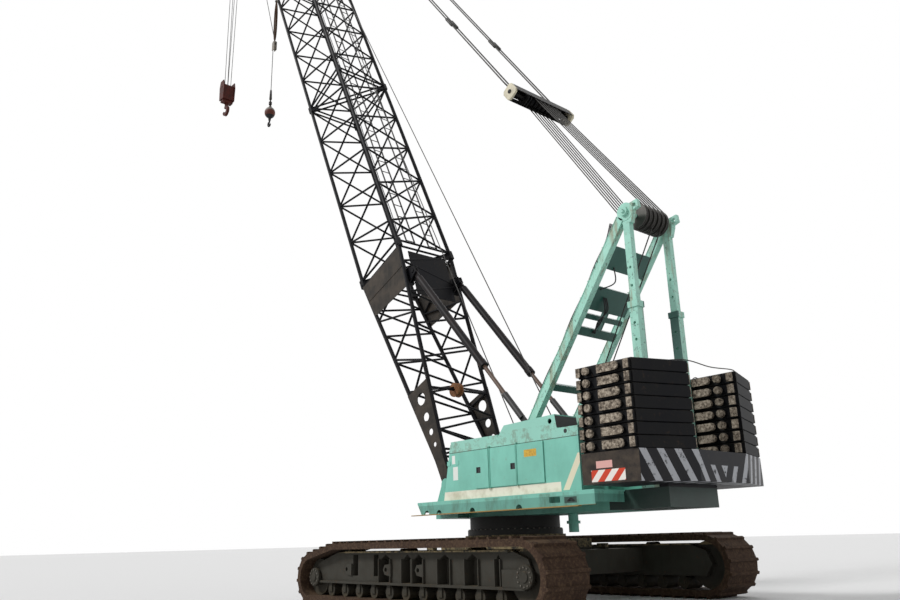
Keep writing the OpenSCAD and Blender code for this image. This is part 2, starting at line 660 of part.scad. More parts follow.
module boom_top() {
  color(navy) at_boom() {
    lattice(top_u, tip_u - 500, 4);
    end_lugs(top_u, 1);
    for (y = [-420, 370]) difference() {
      side_plate([[tip_u - 700, -560], [tip_u - 700, 560], [tip_u - 100, 960], [tip_u + 120, 900], [tip_u + 260, 200], [tip_u + 1060, -330], [tip_u + 1060, -480], [tip_u + 240, -640], [tip_u + 150, -1060], [tip_u - 150, -1060], [tip_u - 300, -620]], y, 50);
      translate([tip_u - 250, y + 60, 100]) rotate([90, 0, 0]) cylinder(h = 70, r = 180, $fn = 24);
    }
    for (p = [[tip_u - 650, -500], [tip_u - 650, 500]]) box([p[0] - 60, -560, p[1] - 60], [p[0] + 60, 560, p[1] + 60]);
    translate([tip_u - 100, 980, 900]) rotate([90, 0, 0]) cylinder(h = 1960, r = 50, $fn = 20);
    for (p = [[tip_u, -900], [tip_u - 120, 560], [tip_u + 960, -400]]) translate([p[0], 440, p[1]]) rotate([90, 0, 0]) cylinder(h = 880, r = 45, $fn = 20);
  }
}

module boom_sheaves() {
  color(steel) at_boom() difference() {
    for (y = fall_y) sheave([tip_u, -900], y, head_sheave_r);
    translate([tip_u, 300, -900]) rotate([90, 0, 0]) cylinder(h = 600, r = 45 + fit, $fn = 24);
  }
}

module boom_catwalk() {
  color(steel) at_boom() for (y = [-420, 420]) {
    for (s = [-160, 145]) box([butt_length + 200, y + s, boom_half - lace_d / 2 - 50], [top_u - 200, y + s + 15, boom_half - lace_d / 2]);
    for (u = [butt_length + 250:500:top_u - 250]) box([u, y - 145, boom_half - lace_d / 2 - 40], [u + 20, y + 145, boom_half - lace_d / 2 - 20]);
  }
}

// Place children along a backstop, x from the lower pin to the boom
module at_stop() {
  translate([stop_low[0], 0, stop_low[1]]) rotate([0, -stop_a, 0]) children();
}

module x_bar(x0, x1, r, fn = 32) {
  translate([x0, 0, 0]) rotate([0, 90, 0]) cylinder(h = x1 - x0, r = r, $fn = fn);
}

module backstop_rods() {
  color(rope_grey) at_stop() mirror_y() translate([0, stop_y, 0]) {
    difference() {
      union() {
        box([0, -24, -70], [320, 24, 70]);
        translate([0, 24, 0]) rotate([90, 0, 0]) cylinder(h = 48, r = 85, $fn = 24);
      }
      translate([0, 30, 0]) rotate([90, 0, 0]) cylinder(h = 60, r = 45 + fit, $fn = 24);
    }
    x_bar(300, sleeve_len, 75);
    x_bar(sleeve_len, stop_len - 1200, 52);
  }
}

module backstop_tubes() {
  color(rope_grey) at_stop() mirror_y() translate([stop_len, stop_y, 0]) {
    difference() {
      union() {
        box([-360, -24, -70], [0, 24, 70]);
        translate([0, 24, 0]) rotate([90, 0, 0]) cylinder(h = 48, r = 80, $fn = 24);
      }
      translate([0, 30, 0]) rotate([90, 0, 0]) cylinder(h = 60, r = 46, $fn = 24);
    }
    difference() {
      union() {
        x_bar(-tube_len, -340, 100);
        x_bar(-tube_len - 60, -tube_len + 120, 112);
      }
      x_bar(-tube_len - 80, -tube_len + 60, 52 + fit);
      x_bar(-tube_len + 50, -420, 60);
    }
  }
}

module hook_falls() {
  color(rope_grey) for (s = [-1, 1], y = fall_y)
    rod([fall_x + s * rope_on(block_r), y, block_z - 330], [fall_x + s * rope_on(head_sheave_r), y, head_sheave[1]], rope_d, 8);
}

// Point hook of thickness t, with its shank up to z = 0
module hook_shape(r, t) {
  translate([0, t / 2, 0]) rotate([90, 0, 0]) linear_extrude(t) difference() {
    union() {
      polygon([[-0.35 * r, 0], [0.35 * r, 0], [0.4 * r, -1.0 * r], [-0.4 * r, -1.0 * r]]);
      translate([0, -1.9 * r]) circle(r = r * 1.15, $fn = 32);
    }
    translate([0.1 * r, -1.8 * r]) circle(r = 0.55 * r, $fn = 24);
    polygon([[0.2 * r, -1.8 * r], [2 * r, -2.3 * r], [2 * r, -0.9 * r], [0.55 * r, -0.9 * r]]);
  }
}

module hook_block() {
  z = block_z;
  color(hook_red) {
    for (y = [-290, 250]) side_plate([[fall_x - 240, z - 300], [fall_x - 160, z], [fall_x + 160, z], [fall_x + 240, z - 300], [fall_x + 200, z - 1000], [fall_x - 200, z - 1000]], y, 40);
    for (y = fall_y) sheave([fall_x, z - 330], y, block_r);
    y_bar([fall_x, z - 330], -300, 300, 90);
    box([fall_x - 130, -250, z - 1120], [fall_x + 130, 250, z - 900]);
    translate([fall_x, 0, z - 1100]) hook_shape(220, 110);
  }
}

module sling_block() {
  color(shoe_brown) {
    rod([sling_p[0], sling_y, sling_p[1] - 45], [sling_p[0], sling_y, 20650], 40, 8);
    difference() {
      y_bar(sling_p, sling_y - 30, sling_y + 30, 116, 24);
      y_bar(sling_p, sling_y - 40, sling_y + 40, 44 + 2 * fit, 24);
    }
    for (y = [-60, 40]) box([sling_p[0] - 90, sling_y + y, 20300], [sling_p[0] + 90, sling_y + y + 20, 20660]);
    sheave([sling_p[0], whip_z], sling_y, whip_r);
    y_bar([sling_p[0], whip_z], sling_y - 65, sling_y + 65, 50, 24);
    box([sling_p[0] - 60, sling_y - 55, 20600], [sling_p[0] + 60, sling_y + 55, 20700]);
  }
}

ball_z = 17500;
whip_z = 20440;

module whip_fall() {
  x = sling_p[0] + rope_on(whip_r);
  color(rope_grey) rod([x, sling_y, ball_z + 1040 + seat], [x, sling_y, whip_z], rope_d, 8);
}

module overhaul_ball() {
  color(hook_red) translate([sling_p[0] + rope_on(whip_r), sling_y, 0]) {
    translate([0, 0, ball_z + 480]) cylinder(h = 560, r1 = 70, r2 = 45, $fn = 20);
    translate([0, 0, ball_z]) sphere(r = ball_r, $fn = 32);
    translate([0, 0, ball_z + 150]) cylinder(h = 340, r = 55, $fn = 20);
    translate([0, 0, ball_z - ball_r + 20]) hook_shape(125, 60);
  }
}

carbody();
slew_ring();
track_frame(1);  // track_frame_left
track_loop(1);  // track_left
wheels(1);  // wheels_left
track_frame(-1);  // track_frame_right
track_loop(-1);  // track_right
wheels(-1);  // wheels_right
revolving_frame();
deck_left();
deck_right();
house_left();
door(0);  // door_1
door(1);  // door_2
door(2);  // door_3
house_right();
engine();
drum_front();
drum_boom();
cab_shell();
cab_glass();
cab_door();
cab_seat();
counterweight_tray();
counterweight_slabs();
gantry_front();
gantry_rear();
gantry_head();
reeving();
spreader();
pendants();
boom_butt();
boom_insert(0);  // boom_insert_1
boom_insert(1);  // boom_insert_2
boom_insert(2);  // boom_insert_3
boom_top();
boom_sheaves();
boom_catwalk();
backstop_tubes();
backstop_rods();
hook_falls();
hook_block();
sling_block();
whip_fall();
overhaul_ball();
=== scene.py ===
"""Looks of the lattice-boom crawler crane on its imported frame. Metres, +X to the boom, +Z up."""
import math
import bpy
import numpy as np
from mathutils import Matrix, Vector


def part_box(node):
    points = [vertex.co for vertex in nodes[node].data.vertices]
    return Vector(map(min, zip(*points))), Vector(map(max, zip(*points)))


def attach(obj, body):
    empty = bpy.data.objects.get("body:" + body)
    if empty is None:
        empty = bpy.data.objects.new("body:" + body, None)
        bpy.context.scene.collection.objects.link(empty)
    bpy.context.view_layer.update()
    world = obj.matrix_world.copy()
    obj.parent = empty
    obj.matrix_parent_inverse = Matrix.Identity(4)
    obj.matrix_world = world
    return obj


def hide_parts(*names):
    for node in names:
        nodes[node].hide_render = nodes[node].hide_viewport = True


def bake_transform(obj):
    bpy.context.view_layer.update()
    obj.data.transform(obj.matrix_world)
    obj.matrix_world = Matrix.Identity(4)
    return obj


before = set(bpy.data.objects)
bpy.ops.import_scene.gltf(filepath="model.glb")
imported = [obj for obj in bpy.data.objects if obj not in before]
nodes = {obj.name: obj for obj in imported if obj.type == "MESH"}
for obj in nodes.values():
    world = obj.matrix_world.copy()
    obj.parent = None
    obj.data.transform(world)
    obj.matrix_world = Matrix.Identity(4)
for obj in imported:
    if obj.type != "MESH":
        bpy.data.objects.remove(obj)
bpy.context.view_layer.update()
scene = bpy.context.scene

# Camera of the photograph, fitted to straight edges of the machine
CAM_PLACE = Vector((-13.953, 13.848, 1.349))
CAM_YAW, CAM_PITCH, CAM_ROLL = (math.radians(v) for v in (-40.685, 17.284, -1.419))
CAM_F_PX, IMAGE_W, IMAGE_H, CENTRE_Y = 794.0, 900, 600, 293.36


def make_camera():
    """Camera axes: forward from yaw and pitch, right and up turned about it by the roll."""
    cy, sy = math.cos(CAM_YAW), math.sin(CAM_YAW)
    cp, sp = math.cos(CAM_PITCH), math.sin(CAM_PITCH)
    fwd = Vector((cy * cp, sy * cp, sp))
    right = Vector((sy, -cy, 0.0))
    up = right.cross(fwd)
    c, s = math.cos(CAM_ROLL), math.sin(CAM_ROLL)
    right, up = c * right + s * up, -s * right + c * up
    data = bpy.data.cameras.new("photo_camera")
    data.sensor_width = 36.0
    data.lens = 36.0 * CAM_F_PX / IMAGE_W
    data.shift_y = -(IMAGE_H / 2 - CENTRE_Y) / IMAGE_W
    data.clip_start, data.clip_end = 0.1, 400.0
    cam = bpy.data.objects.new("photo_camera", data)
    cam.matrix_world = Matrix((
        (right.x, up.x, -fwd.x, CAM_PLACE.x),
        (right.y, up.y, -fwd.y, CAM_PLACE.y),
        (right.z, up.z, -fwd.z, CAM_PLACE.z),
        (0, 0, 0, 1)))
    scene.collection.objects.link(cam)
    scene.camera = cam


make_camera()
scene.view_settings.view_transform = "Standard"

# Frame sizes of part.scad, in metres
BOOM_ANGLE = math.radians(65.5)
FOOT = np.array([1.150, 2.640])
TIP_U, BUTT_U, INSERT_U = 39.0, 7.2, 8.25
BOOM_HALF = 0.977
HEAD = np.array([-4.520, 7.950])
LEG_FOOT = np.array([-0.600, 2.640])
LEG_LEN = math.hypot(LEG_FOOT[0] - HEAD[0], LEG_FOOT[1] - HEAD[1])
LEG_Y, LEG_W, LEG_STRIP = 0.710, 0.140, 0.012
LEG_IN, LEG_OUT = LEG_Y - LEG_W / 2, LEG_Y + LEG_W / 2
HOUSE_HALF, DECK_HALF, DECK_Z, ROOF_Z = 1.600, 1.750, 2.220, 3.490
TRAY_Z, TRAY_H, SLAB_H, SLAB_N = 2.270, 0.570, 0.237, 7
STACK_TOP = TRAY_Z + TRAY_H + SLAB_N * SLAB_H
SLAB_SIDE, SLAB_EDGE, SLAB_INSET = 2.040, 0.014, 0.030
FRONT_DRUM, BOOM_DRUM = np.array([-0.430, 2.760]), np.array([-1.700, 2.740])
BAR_S, GANTRY_R, BAR_R, BLOCK_R, WHIP_R, HEAD_R = 5.1, 0.290, 0.150, 0.190, 0.120, 0.425
GUIDE_R, GROOVE, ROPE_D = 0.170, 0.025, 0.028
BLOCK_TOP = 22.600
BLOCK_Z = BLOCK_TOP - 0.330
WHIP_Z, BALL_TOP = 20.440, 17.500 + 1.040
BALL_LOW, BALL_HIGH = [np.array(p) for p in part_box("overhaul_ball")]
WEIGHT_Z = BALL_HIGH[2] - 1.02


def boom_point(u, n, y):
    """Point at distance u along the boom and n towards its rear face."""
    c, s = math.cos(BOOM_ANGLE), math.sin(BOOM_ANGLE)
    return np.array([FOOT[0] + u * c - n * s, y, FOOT[1] + u * s + n * c])


HEAD_SHEAVE = boom_point(TIP_U, -0.900, 0.0)
SLING = boom_point(22.4, -BOOM_HALF, 1.097)
LINE_END = boom_point(TIP_U - 0.150, 0.900, 0.0)
LINE_ANGLE = math.atan2(LINE_END[2] - HEAD[1], LINE_END[0] - HEAD[0])
LINE_LEN = math.hypot(LINE_END[2] - HEAD[1], LINE_END[0] - HEAD[0])
STOP_LOW = np.array([-1.420, 3.750])
STOP_DIR = boom_point(6.075, 1.050, 0)[[0, 2]] - STOP_LOW
STOP_DIR = STOP_DIR / np.linalg.norm(STOP_DIR)


def line_point(s, y, h):
    """Point at distance s along the luffing line and h above it."""
    c, s_ = math.cos(LINE_ANGLE), math.sin(LINE_ANGLE)
    return np.array([HEAD[0] + s * c - h * s_, y, HEAD[1] + s * s_ + h * c])


def leg_point(s, y, h):
    """Point at distance s down the front gantry legs and h in front of their middle plane."""
    d = (LEG_FOOT - HEAD) / LEG_LEN
    return np.array([HEAD[0] + s * d[0] - h * d[1], y, HEAD[1] + s * d[1] + h * d[0]])


def on_rim(r):
    """Radius of a rope's middle in the groove of a sheave of radius r, 0.3 mm off its floor."""
    return r - GROOVE + ROPE_D / 2 + 0.0003


# Materials


def linear(hex_colour):
    """Turns an sRGB hex value into linear RGBA."""
    v = [int(hex_colour[i:i + 2], 16) / 255 for i in (1, 3, 5)]
    return [c / 12.92 if c <= 0.04045 else ((c + 0.055) / 1.055) ** 2.4 for c in v] + [1.0]


class Nodes:
    """The node tree of a material or of the world, with what is drawn on it so far as its colour."""

    def __init__(self, owner):
        owner.use_nodes = True
        self.owner, self.tree, self.colour = owner, owner.node_tree, None

    def add(self, kind, settings=None, inputs=(), output=0):
        """Adds a node, sets its fields, sets or links its inputs by place or name, and returns an output."""
        node = self.tree.nodes.new("ShaderNode" + kind)
        for field, value in (settings or {}).items():
            setattr(node, field, value)
        for key, value in inputs.items() if isinstance(inputs, dict) else enumerate(inputs):
            if isinstance(value, bpy.types.NodeSocket):
                self.tree.links.new(value, node.inputs[key])
            else:
                node.inputs[key].default_value = linear(value) if isinstance(value, str) else value
        return node.outputs[output] if node.outputs else None

    def product(self, first, *others):
        """Masks and numbers multiplied."""
        for other in others:
            first = self.add("Math", {"operation": "MULTIPLY"}, (first, other))
        return first

    def mix(self, under, over, *masks):
        """Colour over laid on colour under, in full where every mask is one."""
        return self.add("Mix", {"data_type": "RGBA"}, {0: self.product(*masks), 6: under, 7: over}, 2)

    def lay(self, over, *masks):
        """Lays a colour on what is drawn so far."""
        self.colour = self.mix(self.colour, over, *masks)

    def weighted(self, *terms, start=0.0):
        """Sum of start and of each value times its factor."""
        for value, factor in terms:
            start = self.add("Math", {"operation": "MULTIPLY_ADD"}, (value, factor, start))
        return start

    def within(self, value, low=None, high=None):
        """One between low and high, zero outside, and open on the side that has no limit."""
        return self.product(*[
            self.add("Math", {"operation": word}, (value, limit))
            for word, limit in (("GREATER_THAN", low), ("LESS_THAN", high)) if limit is not None])

    def rectangle(self, x0, x1, z0, z1):
        """One inside a rectangle on the machine's side."""
        return self.product(self.within(self.x, x0, x1), self.within(self.z, z0, z1))

    def stripes(self, run, pitch, share):
        """One over the first share of every pitch along run."""
        turns = self.add("Math", {"operation": "FRACT"}, (self.weighted((run, 1 / pitch)),))
        return self.within(turns, high=share)

    def blotches(self, width, low=0.0, high=1.0, detail=4.0, rough=0.6, stretch=(1, 1, 1)):
        """Noise with blotches about width metres wide, drawn out so that low becomes zero and high one."""
        place = self.add("Mapping", inputs={"Vector": self.coords, "Scale": stretch})
        cloud = self.add("TexNoise", inputs={
            "Vector": place, "Scale": 1.0 / width, "Detail": detail, "Roughness": rough})
        return self.add("MapRange", inputs=(cloud, low, high))


def start_material(name, roughness, metallic=0.0, **sockets):
    """Empty material with its shader's plain numbers set, and X, Y, Z and the distance from the middle in metres."""
    m = Nodes(bpy.data.materials.new(name))
    m.shader = m.tree.nodes["Principled BSDF"].inputs
    for socket, value in {"Roughness": roughness, "Metallic": metallic, **sockets}.items():
        m.shader[socket.replace("_", " ")].default_value = value
    m.coords = m.add("TexCoord", output="Object")
    m.x, m.y, m.z = m.add("SeparateXYZ", inputs=(m.coords,)).node.outputs
    m.wide = m.add("Math", {"operation": "ABSOLUTE"}, (m.y,))
    return m


def worn(name, colour, dirt, rust, roughness, metallic=0.0, dirty=0.5, rusty=0.3, patch=0.9, bump=0.15, dust=None,
         gloss=0.5, marks=None):
    """Painted or bare steel: dirt clouds patch metres wide, streaks that run down, rust spots of 100 mm, dust on
    faces that look up, and a 20 mm grain 2 mm high, coarser than the real one so that it shows. The function
    marks draws on that."""
    m = start_material(name, roughness, metallic, Specular_IOR_Level=gloss)
    clouds = m.blotches(patch, 0.42, 0.70)
    m.colour = m.mix(colour, dirt, clouds, dirty)
    m.lay(dirt, m.blotches(patch * 0.25, 0.50, 0.75, stretch=(1, 1, 0.18)), dirty * 0.6)
    m.lay(rust, m.blotches(0.10, 0.60, 0.68, 6.0, 0.7), rusty)
    if dust:
        up = m.add("SeparateXYZ", inputs=(m.add("NewGeometry", output="Normal"),), output=2)
        m.lay(dust, m.add("MapRange", inputs=(up, 0.55, 0.95)), clouds, 0.8)
    if marks:
        marks(m)
    grain = m.add("Bump", inputs={"Strength": bump, "Distance": 0.002, "Height": m.blotches(0.02)})
    m.tree.links.new(m.colour, m.shader["Base Color"])
    m.tree.links.new(grain, m.shader["Normal"])
    return m.owner


FLANK_Y, EAVES_Z, CREASE_SHADE_H, SILL_Z, DECK_EDGE_Z = HOUSE_HALF - 0.04, 3.300, 0.015, 2.140, 1.945
CREAM_BAND, SLANT_BAND = (-2.97, 0.69, DECK_Z, 2.42), (-3.50, -3.00, 2.25, 2.95)
ORANGE_SIGN = (-2.36, -2.00, 2.99, 3.14)
SLANT_RUN, SLANT_FROM, SLANT_TO = 1 / 1.6, 1.610, 1.775
# Two blank plates on the left flank, and painted shade standing in for a step recess and two handle recesses on it
SIGNS_AND_RECESS_SHADE = (((0.26, 0.37, 3.04, 3.23), "#E4E8E2"), ((0.17, 0.34, 2.67, 2.97), "#E4E8E2"),
               ((-3.48, -3.16, 1.99, 2.11), "#232A24"), ((-0.63, -0.49, 2.77, 2.90), "#14181A"),
               ((-1.72, -1.58, 2.77, 2.90), "#14181A"))
BOX_REAR_X, BOX_REAR_LEAN, BOX_FRONT_X = -3.538, 0.1695, -2.97
ROOF_HOLE_X, ROOF_HOLE_Z, ROOF_HOLE_R = -3.17, 3.41, 0.045


def house_marks_and_painted_light(m):
    """Painted highlight on the eaves over a painted shade line at their crease, rust along them, moss low down, blank
    bands and signs, painted shade in recesses and openings, and a darker deck.
    """
    flank, left = m.within(m.wide, FLANK_Y), m.within(m.y, FLANK_Y)
    # Painted highlight on the sloped roof edge above the crease, and a painted shade line along the crease
    m.lay("#9FD3C3", 0.6, flank, m.within(m.z, EAVES_Z))
    m.lay("#2E5A50", flank, m.within(m.z, EAVES_Z - CREASE_SHADE_H, EAVES_Z))
    rusty = m.blotches(0.22, 0.50, 0.62, 5.0, 0.7)
    m.lay("#6A5038", m.within(m.z, 3.28, 3.60), rusty, 0.45)
    mossy = m.blotches(0.30, 0.48, 0.66, 5.0, 0.7, (1, 1, 0.3))
    m.lay("#4E5A44", m.within(m.z, high=2.20), mossy, 0.6)
    cream = m.mix("#E9E4D2", "#BDB59C", m.blotches(0.35, 0.45, 0.75))
    m.lay(cream, flank, m.rectangle(*CREAM_BAND))
    slant = m.within(m.weighted((m.x, -1.0), (m.z, -SLANT_RUN)), SLANT_FROM, SLANT_TO)
    m.lay("#E3DCC0", flank, slant, m.rectangle(*SLANT_BAND))
    orange = m.mix("#B98A2E", "#D9B23A", m.blotches(0.04, 0.40, 0.60, 6.0, 0.7))
    m.lay(orange, left, m.rectangle(*ORANGE_SIGN))
    # The blank plates, then painted shade for the step and handle recesses
    for limits, colour in SIGNS_AND_RECESS_SHADE:
        m.lay(colour, left, m.rectangle(*limits))
    # Painted shade: a near-black strip for the opening by the roof box, just above the roof
    behind = m.within(m.weighted((m.x, 1.0), (m.z, -BOX_REAR_LEAN)), high=BOX_REAR_X)
    m.lay("#0C1010", behind, m.within(m.z, ROOF_Z + 0.02, ROOF_Z + 0.27), m.within(m.x, BOX_FRONT_X))
    # Painted shade: a dark disc for the round hole in the left flank
    dx, dz = m.weighted((m.x, 1.0), start=-ROOF_HOLE_X), m.weighted((m.z, 1.0), start=-ROOF_HOLE_Z)
    hole = m.within(m.weighted((dx, dx), (dz, dz)), high=ROOF_HOLE_R ** 2)
    m.lay("#1A2420", left, hole)
    m.lay("#2F5F55", 0.38, m.within(m.z, high=SILL_Z))
    m.lay("#9A7B3E", m.within(m.z, high=DECK_EDGE_Z))


TRAY_REAR_X, TRAY_END_Y, BLANK_HALF, BLANK_Z = -5.20, 2.068, 0.70, 2.575
TRAY_PLATE, TRAY_BOARD = (-4.68, -4.32, 2.55, 2.68), (-4.95, -4.20, 2.31, 2.52)


def tray_marks(m):
    """Grey stripes 365 mm apart that meet as a V on the rear, brown ends, and a plate and a striped board."""
    blank = m.product(m.within(m.wide, high=BLANK_HALF), m.within(m.z, BLANK_Z))
    slanted = m.stripes(m.weighted((m.wide, 1.0), (m.z, -0.5), start=3.15), 0.365, 0.40)
    m.lay("#A9ABB0", m.within(m.x, high=TRAY_REAR_X), m.within(m.wide, high=TRAY_END_Y), slanted,
          m.weighted((blank, -1.0), start=1.0), m.blotches(0.12, 0.35, 0.45, 6.0, 0.7))
    brown = m.mix("#272220", "#463D34", m.blotches(0.25, 0.35, 0.65, 6.0, 0.7))
    m.lay(brown, m.within(m.wide, TRAY_END_Y))
    left = m.within(m.y, TRAY_END_Y)
    m.lay("#D9A7A0", left, m.rectangle(*TRAY_PLATE))
    board = m.mix("#E8E2DA", "#C8452F", m.stripes(m.weighted((m.x, 1.0), (m.z, 0.9)), 0.30, 0.5))
    m.lay(board, left, m.rectangle(*TRAY_BOARD))


def slab_marks(m):
    """Dust in 60 mm blotches on the lugs and bars, which lie further out or further in than the slabs themselves."""
    ends = m.add("Math", {"operation": "MAXIMUM"}, (
        m.within(m.wide, SLAB_SIDE + 0.070), m.within(m.wide, high=0.80)))
    dust = m.mix("#332C25", "#7C7164", m.blotches(0.06, 0.38, 0.50, 6.0, 0.75))
    m.lay(m.mix(dust, "#B4A999", m.blotches(0.06, 0.50, 0.64, 6.0, 0.75)), ends)


def gantry_marks(m):
    """Rust runs, chips of 70 mm, and dark green on the plates between the legs."""
    m.lay("#8A6E4C", m.blotches(0.22, 0.52, 0.64, stretch=(1, 1, 0.14)), 0.6)
    m.lay("#3E4C44", m.blotches(0.07, 0.58, 0.63, 6.0, 0.7), 0.7)
    dark = m.mix("#1F4A42", "#2E5F55", m.blotches(0.3))
    m.lay(dark, m.within(m.wide, high=LEG_IN - LEG_STRIP), m.within(m.z, high=7.75))


def mud_marks(m):
    """Dried mud in 120 mm lumps, thick on the ground and gone at 420 mm, and light where it lies on the frames."""
    mud = m.blotches(0.12, 0.40, 0.58, 6.0, 0.7)
    m.lay("#5C503A", mud, m.add("MapRange", inputs=(m.z, 0.42, 0.0)), 0.8)
    m.lay("#8C7D5E", mud, m.within(m.z, 1.13))


def shoe_marks(m):
    """A crust of dry soil in 60 mm lumps."""
    m.lay("#5F4C3A", m.blotches(0.06, 0.48, 0.60, 8.0, 0.75), 0.55)


def bed_painted_shade(m):
    """Painted shade on the slewing bed where it lies under the tray, black-green in blotches."""
    under_tray_shade = m.mix("#0F1C18", "#244038", m.blotches(0.4))
    m.lay(under_tray_shade, m.within(m.x, high=-3.52), m.within(m.z, high=TRAY_Z + 0.01))


def rod_marks(m):
    """Black paint on the rods' lower sleeves, 1130 mm long."""
    along = m.weighted((m.x, STOP_DIR[0]), (m.z, STOP_DIR[1]), start=-STOP_LOW @ STOP_DIR)
    m.lay("#1C1A1A", m.within(along, high=1.13))


def ball_marks(m):
    """Bare grey crown over the brown-red belt, and a black socket and hook."""
    m.lay("#77716A", m.within(m.z, WEIGHT_Z + 0.06))
    m.lay("#19181A", m.within(m.z, high=WEIGHT_Z - 0.13))
    m.lay("#26221F", m.within(m.z, WEIGHT_Z + 0.26))


def rope_material():
    """Greased wire rope: dark strands, as slanting bands along the rope's own UV, one lay every 60 mm."""
    m = start_material("greased_wire_rope", 0.5, 0.4)
    strands = m.add("TexWave", {"bands_direction": "DIAGONAL"}, {
        "Vector": m.add("TexCoord", output="UV"), "Scale": 1.0, "Distortion": 0.0}, 1)
    shown = m.add("MapRange", inputs=(strands, 0.2, 0.7))
    m.tree.links.new(m.mix("#151413", "#3E3C39", shown), m.shader["Base Color"])
    return m.owner


def glass_material():
    """Tempered cab glass, smooth, with a light grey tint that lets the seat show."""
    m = start_material("tinted_cab_glass", 0.03, IOR=1.5, Alpha=0.45)
    m.shader["Base Color"].default_value = linear("#2A3A3C")
    return m.owner


# Gloss enamel on the house, sprayed and years old: sea green gone chalky, with its bands and signs, and painted
# highlight and painted shade at its eaves, recesses and openings
green_paint = worn("sea_green_enamel", "#7FC7B5", "#63A392", "#7B5A3C", 0.38, dirty=0.45,
                   rusty=0.22, dust="#8FB3A4", marks=house_marks_and_painted_light)
# The same enamel on the cab, without bands
plain_green = worn("green_enamel", "#79C2B0", "#5C9A89", "#7B5A3C", 0.38, dirty=0.45, rusty=0.22)
# The same enamel on the slewing bed, with painted black-green shade where it lies under the tray
bed_paint = worn("green_enamel_shaded_under_tray", "#6FB3A2", "#4C8474", "#5A4030", 0.45, marks=bed_painted_shade)
# Lighter enamel on the gantry, brushed over older paint and chipped to rust
mint_paint = worn("mint_enamel", "#A3D8C7", "#78B3A1", "#7A4A2A", 0.40, dirty=0.45, rusty=0.60,
                  patch=0.6, marks=gantry_marks)
# Black enamel on the tray, half gloss, with flaking grey stripes
striped_paint = worn("black_striped_enamel", "#14151B", "#2A2624", "#4A3528", 0.45, dirty=0.35,
                     gloss=0.20, marks=tray_marks)
# Sand-cast iron in charcoal paint, dull, with pale dust on what is handled; the base colour is near-black, darker
# than the paint's own charcoal, as painted shade
weight_paint = worn("charcoal_cast_iron", "#0B0C10", "#1A1916", "#4A3A2E", 0.6, dust="#5A5650",
                    gloss=0.15, marks=slab_marks)
# Grey-olive paint on the track frames, flat under dried mud
under_paint = worn("grey_olive_paint", "#3A3832", "#2E2A22", "#5B3A24", 0.75, dirty=0.7,
                   rusty=0.35, patch=0.5, dust="#6E6048", gloss=0.20, marks=mud_marks)
# Cast manganese steel shoes, matt rust brown darkened past the rust's own colour as painted shade, rough with dry
# soil
shoe_steel = worn("rusted_cast_steel", "#33241B", "#47362A", "#3A241A", 0.85, dirty=0.7,
                  rusty=0.5, patch=0.3, bump=0.5, dust="#5E4C3A", gloss=0.20, marks=shoe_marks)
# Slewing ring under a black skin of old grease
ring_steel = worn("grease_black_steel", "#1E1C1A", "#121110", "#3A2C22", 0.6, patch=0.4, gloss=0.3)
# Turned steel of drums and sheaves, grey and shiny under a film of grease
plain_steel = worn("greased_steel", "#5C5A57", "#33302C", "#5A4030", 0.45, 0.8, rusty=0.2, patch=0.3)
# Near-black boom enamel, half gloss, with brown grime
boom_paint = worn("black_navy_enamel", "#0D0E13", "#1E1B18", "#4A3426", 0.5, dirty=0.45, gloss=0.12)
# The same on the butt's plates, dusty brown-grey from the ground
foot_paint = worn("brown_grey_plate", "#26231F", "#4C433A", "#4A3626", 0.6, dirty=0.7,
                  rusty=0.35, patch=0.5, gloss=0.20)
# Black paint on the backstops' tubes, rusting at its scratches
stop_paint = worn("black_tube_steel", "#151416", "#2A2220", "#5A3520", 0.5, dirty=0.6, rusty=0.4,
                  gloss=0.15)
# Bare sliding rods, brown with rust
rod_paint = worn("rusty_rod_steel", "#5A4436", "#3A2A20", "#7A4426", 0.5, dirty=0.6, rusty=0.5,
                 marks=rod_marks)
# Cast steel ball, its belt rubbed brown-red by its ropes
ball_paint = worn("belted_cast_steel", "#5E2E22", "#3A201A", "#7A4426", 0.55, patch=0.2, gloss=0.3,
                  marks=ball_marks)
# Rust on the guide reel, bright where the ropes rub
reel_rust = worn("bright_rust_steel", "#8A5A32", "#4A3020", "#B07A48", 0.7, dirty=0.6, rusty=0.6,
                 patch=0.15)
# Dark red enamel on the hook block, nearly black with grease
hook_paint = worn("dark_red_enamel", "#4E2018", "#231512", "#1E1613", 0.5, dirty=0.6, rusty=0.6,
                  patch=0.3, gloss=0.15)
# Galvanised walkway mesh, dark and dull with age
mesh_steel = worn("dark_mesh_steel", "#2C2C2E", "#3E3832", "#4A3626", 0.6)
# Pale grey enamel on the whip line's block, with a soft shine
snatch_paint = worn("pale_grey_enamel", "#7E776B", "#4A443C", "#5A3A26", 0.5, patch=0.2)
# Cream enamel on the spreader's end plates, chipped down to rust
cream_paint = worn("chipped_cream_enamel", "#CFC7AE", "#7A7260", "#3A3028", 0.5, dirty=0.6,
                   rusty=0.7, patch=0.3)
# Black enamel on the spreader, grey with dust on top
spreader_paint = worn("black_bar_enamel", "#121316", "#2E2A24", "#5A4630", 0.5, patch=0.3,
                      dust="#8C8470", gloss=0.15)
# Woven polyester sling, matt, brown and greasy
webbing = worn("woven_sling", "#4A372B", "#2A201A", "#6A4A34", 0.9, dirty=0.6, patch=0.3, gloss=0.1)
# Moulded plastic seat and consoles, black with a soft sheen
seat_plastic = worn("black_moulded_plastic", "#17181A", "#26241F", "#1C1A18", 0.6, rusty=0.0)
# Black hydraulic hose with a dull dusty skin
hose_rubber = worn("dusty_black_rubber", "#17171A", "#2E2A26", "#2E2A26", 0.7, rusty=0.0, patch=0.4)
# Zinc on bolts, gone dull grey
bolt_steel = worn("dull_zinc_steel", "#6B665E", "#3E3832", "#6A4A32", 0.5, 0.6, rusty=0.4, patch=0.1)
